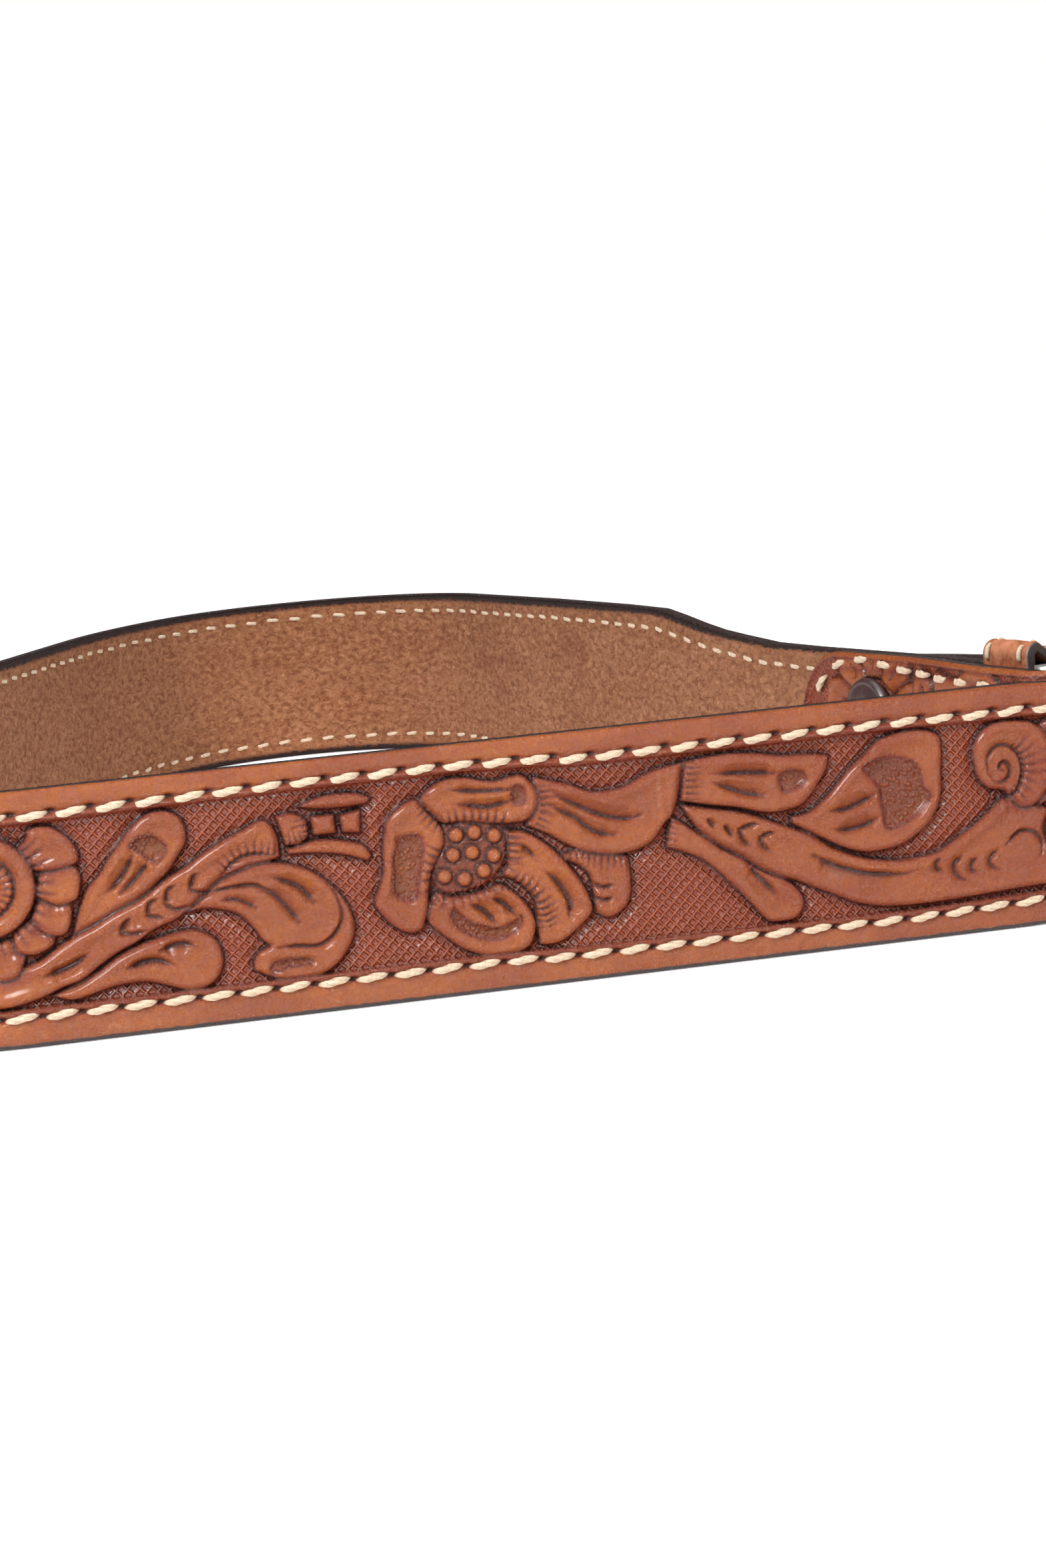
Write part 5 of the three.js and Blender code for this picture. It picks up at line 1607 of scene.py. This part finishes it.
def tooled_leather():
    n = Nodes("tooled_leather")
    st = n.attribute("st", "Vector")
    dye_and_shade, ground = n.attribute("dye_and_shade"), n.attribute("ground")
    hollow, edge, scuff = n.attribute("hollow"), n.attribute("edge"), n.attribute("scuff")
    cloud = n.between(n.noise(n.mapping(st, (0.05, 0.09, 0.05)), 1.0, 3), 0.35, 0.65)
    mottle = n.between(n.noise(st, 0.7, 6, 0.65), 0.3, 0.7)
    tone = n.blend(cloud, LEATHER, LEATHER_LIGHT)
    tone = n.blend(n.times(mottle, 0.42), tone, LEATHER_RED)
    split = n.split(st)
    redder = n.times(n.between(split[0], REDDER_FROM, REDDER_TO), 0.35)
    tone = n.blend(redder, tone, LEATHER_RED)
    ridges = hatch(n, st)
    shaded_squares = n.times(ground, n.math("SUBTRACT", 1.0, ridges))
    pebbles = n.between(n.cells(st, 1.15), 0.2, 0.6)
    # Painted shade: the sunk ground darker and redder and its squares darker still; painted highlight: the
    # hatch ridges lighter
    tone = n.blend(n.times(ground, 0.6), tone, LEATHER_RED)
    tone = n.blend(n.times(n.times(ground, ridges), 0.3), tone, LEATHER_LIGHT)
    tone = n.blend(n.times(shaded_squares, 0.3), tone, LEATHER_DYE_AND_SHADE)
    # Painted shade between the pebbles of the hollows
    tone = n.blend(n.times(n.times(hollow, pebbles), 0.4), tone, LEATHER_DYE_AND_SHADE)
    # The dye mask: antique dye in the cuts together with painted shade of the relief
    tone = n.blend(n.between(dye_and_shade, 0.0, 0.45, 0.0, 0.7), tone, LEATHER_RED)
    tone = n.blend(n.between(dye_and_shade, 0.2, 1.0, 0.0, 0.9), tone, LEATHER_DYE_AND_SHADE)
    pores = n.between(n.cells(st, 4.5), 0.12, 0.02)
    tone = n.blend(n.times(pores, 0.25), tone, LEATHER_DYE_AND_SHADE)
    broken = n.times(scuff, n.between(n.noise(st, 1.6, 5, 0.7), 0.42, 0.6))
    tone = n.blend(n.times(broken, 0.4), tone, SCUFF_TAN)
    rough_edge = n.math("ADD", edge, n.times(n.math("SUBTRACT", mottle, 0.5), 0.4), clamp=True)
    tone = n.blend(n.between(rough_edge, 0.35, 0.75), tone, EDGE_BLACK)
    n.set("Base Color", tone)
    rough = n.math("ADD", 0.22, n.times(mottle, 0.12))
    n.set("Roughness", n.math("ADD", rough, n.times(ground, 0.16)))
    n.set("Specular IOR Level", 0.28)
    n.set("Coat Weight", 0.05)
    n.set("Coat Roughness", 0.15)
    normal = n.bump(n.times(ground, ridges), 0.0005)
    normal = n.bump(n.times(hollow, n.math("SUBTRACT", 1.0, pebbles)), 0.0005, normal=normal)
    smoother = n.math("SUBTRACT", 1.0, n.times(ground, 0.6))
    grain = n.times(n.noise(st, 2.0, 6, 0.72), smoother)
    normal = n.bump(grain, 0.0004, normal=normal)
    normal = n.bump(n.cells(st, 3.0), 0.0001, normal=normal)
    n.set("Normal", normal)
    return n.material


# Stains on the lining: middle along and up, and reach along and up
STAINS = ((205.0, 20.0, 17.0, 8.0), (168.0, 25.0, 9.0, 7.0))


def stain_mask(n, st):
    """Where the soft round stains lie, from 0 to 1."""
    split = n.split(st)
    total = 0.0
    for along, up, reach_along, reach_up in STAINS:
        a = n.times(n.math("SUBTRACT", split[0], along), 1 / reach_along)
        b = n.times(n.math("SUBTRACT", split[1], up), 1 / reach_up)
        r = n.math("ADD", n.times(a, a), n.times(b, b))
        total = n.math("ADD", total, n.between(r, 1.0, 0.1))
    return n.times(total, n.between(n.noise(st, 0.12, 4, 0.6), 0.38, 0.62))


def lining_suede():
    n = Nodes("lining_suede")
    st = n.attribute("st", "Vector")
    inset = n.attribute("inset")
    cloud = n.between(n.noise(n.mapping(st, (0.5, 1.0, 0.5)), 0.09, 5, 0.6), 0.3, 0.7)
    warped = n.node("ShaderNodeVectorMath", operation="MULTIPLY_ADD")
    swirl = n.node("ShaderNodeTexNoise")
    n.feed(swirl.inputs["Vector"], st)
    swirl.inputs["Scale"].default_value = 0.45
    n.feed(warped.inputs[0], swirl.outputs["Color"])
    warped.inputs[1].default_value = (3.0, 3.0, 3.0)
    n.feed(warped.inputs[2], st)
    nap = n.noise(n.mapping(warped.outputs[0], (1.0, 1.6, 1.0)), 0.6, 8, 0.75)
    fibres = n.between(n.cells(n.mapping(warped.outputs[0], (0.8, 2.2, 1.0)), 1.1), 0.3, 0.05)
    tone = n.blend(n.times(cloud, 0.35), SUEDE, SUEDE_LIGHT)
    tone = n.blend(n.times(n.between(nap, 0.48, 0.6), 0.85), tone, SUEDE_DARK)
    tone = n.blend(n.times(n.between(nap, 0.48, 0.38), 0.9), tone, SUEDE_LIGHT)
    tone = n.blend(n.times(fibres, 0.3), tone, SUEDE_LIGHT)
    tone = n.blend(n.times(stain_mask(n, st), 0.45), tone, SUEDE_STAIN)
    split = n.split(st)
    worn = n.between(split[0], PALER_FROM, PALER_TO)
    tone = n.blend(n.times(worn, 0.1), tone, SUEDE_LIGHT)
    ragged = n.math("ADD", inset, n.times(n.math("SUBTRACT", nap, 0.5), 3.4))
    narrowed = n.between(split[0], BORDER_NARROW_AT, BORDER_FULL_AT, 0.45, 1.0)
    band = n.between(n.math("DIVIDE", ragged, narrowed), 1.9, 1.1)
    tone = n.blend(band, tone, EDGE_BLACK)
    n.set("Base Color", tone)
    n.set("Roughness", 0.95)
    n.set("Specular IOR Level", 0.08)
    n.set("Sheen Weight", 0.06)
    n.set("Sheen Roughness", 0.5)
    normal = n.bump(nap, 0.0014)
    normal = n.bump(fibres, 0.0002, normal=normal)
    normal = n.bump(n.noise(st, 4.0, 5, 0.75), 0.0002, normal=normal)
    n.set("Normal", normal)
    return n.material


def object_coordinates(n):
    return n.mapping(n.node("ShaderNodeTexCoord").outputs["Object"], (1000, 1000, 1000))


def cream_thread():
    n = Nodes("cream_thread")
    at = object_coordinates(n)
    fibre = n.noise(n.mapping(at, (1.0, 1.0, 2.6)), 3.2, 6, 0.7)
    tone = n.blend(n.between(fibre, 0.4, 0.7), THREAD_CREAM, THREAD_SHADE)
    # Painted shade between the twisted strands and at each end of a stitch, where it dives into its hole
    shade_between_strands = n.between(n.attribute("strand"), 0.45, 0.0)
    tone = n.blend(n.times(shade_between_strands, 0.32), tone, THREAD_SHADE)
    painted_end_shade = n.between(n.attribute("end"), 0.75, 1.0)
    tone = n.blend(n.times(painted_end_shade, 0.7), tone, THREAD_SHADE)
    n.set("Base Color", tone)
    n.set("Roughness", 0.7)
    n.set("Sheen Weight", 0.2)
    n.set("Normal", n.bump(fibre, 0.00005))
    return n.material


def keeper_leather():
    n = Nodes("keeper_leather")
    st = n.attribute("st", "Vector")
    mottle = n.noise(st, 0.5, 6, 0.65)
    tone = n.blend(n.between(mottle, 0.35, 0.65), KEEPER_TAN, LEATHER)
    tone = n.blend(n.between(n.attribute("edge"), 0.3, 0.8), tone, EDGE_BLACK)
    n.set("Base Color", tone)
    n.set("Roughness", n.math("ADD", 0.42, n.times(mottle, 0.2)))
    n.set("Normal", n.bump(n.noise(st, 3.0, 6, 0.65), 0.00007))
    return n.material


def metal(name, tint, roughness, metallic, wear):
    n = Nodes(name)
    at = object_coordinates(n)
    cloud = n.noise(at, 0.25, 5, 0.6)
    scratch = n.noise(n.mapping(at, (0.4, 0.4, 5.0)), 1.2, 6, 0.7)
    dull = METAL_DULL if metallic > 0.9 else ENAMEL_WORN
    n.set("Base Color", n.blend(n.times(n.between(cloud, 0.45, 0.7), wear), tint, dull))
    n.set("Roughness", n.math("ADD", roughness, n.times(scratch, 0.18)))
    n.set("Metallic", metallic)
    n.set("Normal", n.bump(scratch, 0.00002))
    return n.material


def floor_material():
    n = Nodes("pale_floor")
    at = n.node("ShaderNodeTexCoord").outputs["Object"]
    tone = n.blend(n.noise(at, 2.0, 2), FLOOR_WHITE, FLOOR_COOL)
    n.set("Base Color", tone)
    n.set("Roughness", 0.9)
    n.set("Specular IOR Level", 0.0)
    n.set("Emission Color", (1, 1, 1, 1))
    reach = n.node("ShaderNodeVectorMath", operation="LENGTH")
    n.feed(reach.inputs[0], at)
    n.set("Emission Strength", n.between(reach.outputs["Value"], 0.2, 1.0, 0.55, 1.0))
    return n.material


def dress_node(node, material):
    piece = bpy.data.objects[node]
    piece.data.materials.clear()
    piece.data.materials.append(material)


# Floor, light and camera, in metres here but for the camera's place
FLOOR_REACH = 6.0
WORLD_LIGHT = 0.14
WHITE = (1.0, 1.0, 1.0)
# Each light: name, place, the place it faces, size, watts and tint
LIGHTS = (
    ("key", (-0.4, -0.5, 0.5), (0, -0.12, 0.02), (0.15, 0.15), 6.0, (1.0, 0.98, 0.95)),
    ("top", (0.0, 0.0, 0.9), (0, 0, 0), (0.6, 0.5), 4.0, WHITE),
    ("inner", (0.1, -0.4, 0.7), (-0.12, 0.1, 0.02), (0.3, 0.3), 2.2, WHITE),
    ("side", (0.6, -0.35, 0.6), (-0.05, 0.05, 0.02), (0.25, 0.25), 2.9, (1.0, 0.98, 0.96)),
    ("glint", (-0.25, -0.75, 0.45), (0, -0.12, 0.02), (0.25, 0.12), 30.0, WHITE),
)


def make_floor():
    mesh = bpy.data.meshes.new("floor")
    r = FLOOR_REACH
    mesh.from_pydata([(-r, -r, 0), (r, -r, 0), (r, r, 0), (-r, r, 0)], [], [[0, 1, 2, 3]])
    floor = new_object("floor", mesh, floor_material())


def area_light(name, at, target, size, power, tint):
    light = bpy.data.lights.new(name, "AREA")
    light.shape = "RECTANGLE"
    light.size, light.size_y = size
    light.energy = power
    light.color = tint
    lamp = bpy.data.objects.new(name, light)
    bpy.context.collection.objects.link(lamp)
    lamp.location = at
    lamp.rotation_euler = (Vector(target) - Vector(at)).to_track_quat("-Z", "Y").to_euler()


def make_lights():
    world = bpy.data.worlds.new("studio")
    bpy.context.scene.world = world
    world.use_nodes = True
    tree = world.node_tree
    background = tree.nodes["Background"]
    background.inputs["Color"].default_value = (1, 1, 1, 1)
    seen = tree.nodes.new("ShaderNodeLightPath")
    strength = tree.nodes.new("ShaderNodeMapRange")
    strength.inputs["To Min"].default_value = WORLD_LIGHT
    tree.links.new(seen.outputs["Is Camera Ray"], strength.inputs["Value"])
    tree.links.new(strength.outputs[0], background.inputs["Strength"])
    for light in LIGHTS:
        area_light(*light)
    bpy.data.objects["glint"].visible_diffuse = False


CAMERA_AT = (12.549, -554.847, 90.5)
CAMERA_PITCH = 8.26
CAMERA_ROLL = -4.91
FOCAL_PIXELS = 4300.0
PHOTO_HEIGHT = 2351.0
SENSOR = 36.0


def make_camera():
    pitch, roll = math.radians(CAMERA_PITCH), math.radians(CAMERA_ROLL)
    forward = Vector((0, math.cos(pitch), -math.sin(pitch)))
    right = Vector((1, 0, 0))
    up = right.cross(forward)
    turned = math.cos(roll) * right + math.sin(roll) * up
    raised = math.cos(roll) * up - math.sin(roll) * right
    data = bpy.data.cameras.new("camera")
    data.sensor_fit = "VERTICAL"
    data.sensor_height = SENSOR
    data.lens = FOCAL_PIXELS / PHOTO_HEIGHT * SENSOR
    data.clip_start = 0.01
    data.clip_end = 50
    camera = bpy.data.objects.new("camera", data)
    bpy.context.collection.objects.link(camera)
    basis = Matrix((turned, raised, -forward)).transposed().to_4x4()
    camera.matrix_world = Matrix.Translation(Vector(CAMERA_AT) * MM) @ basis
    bpy.context.scene.camera = camera


def main():
    bpy.context.scene.view_settings.view_transform = "Standard"
    make_camera()
    make_floor()
    make_lights()
    leather = tooled_leather()
    thread = cream_thread()
    make_strap(leather)
    make_lining(lining_suede())
    make_thread(thread)
    make_keeper(keeper_leather(), thread)
    make_snap_cap(metal("snap_enamel", SNAP_PLUM, 0.3, 0.0, 0.5))
    dress_node("snap_post", metal("snap_brass", BRASS, 0.35, 1.0, 0.6))
    make_buckle(metal("buckle_steel", STEEL, 0.28, 1.0, 0.5))


main()
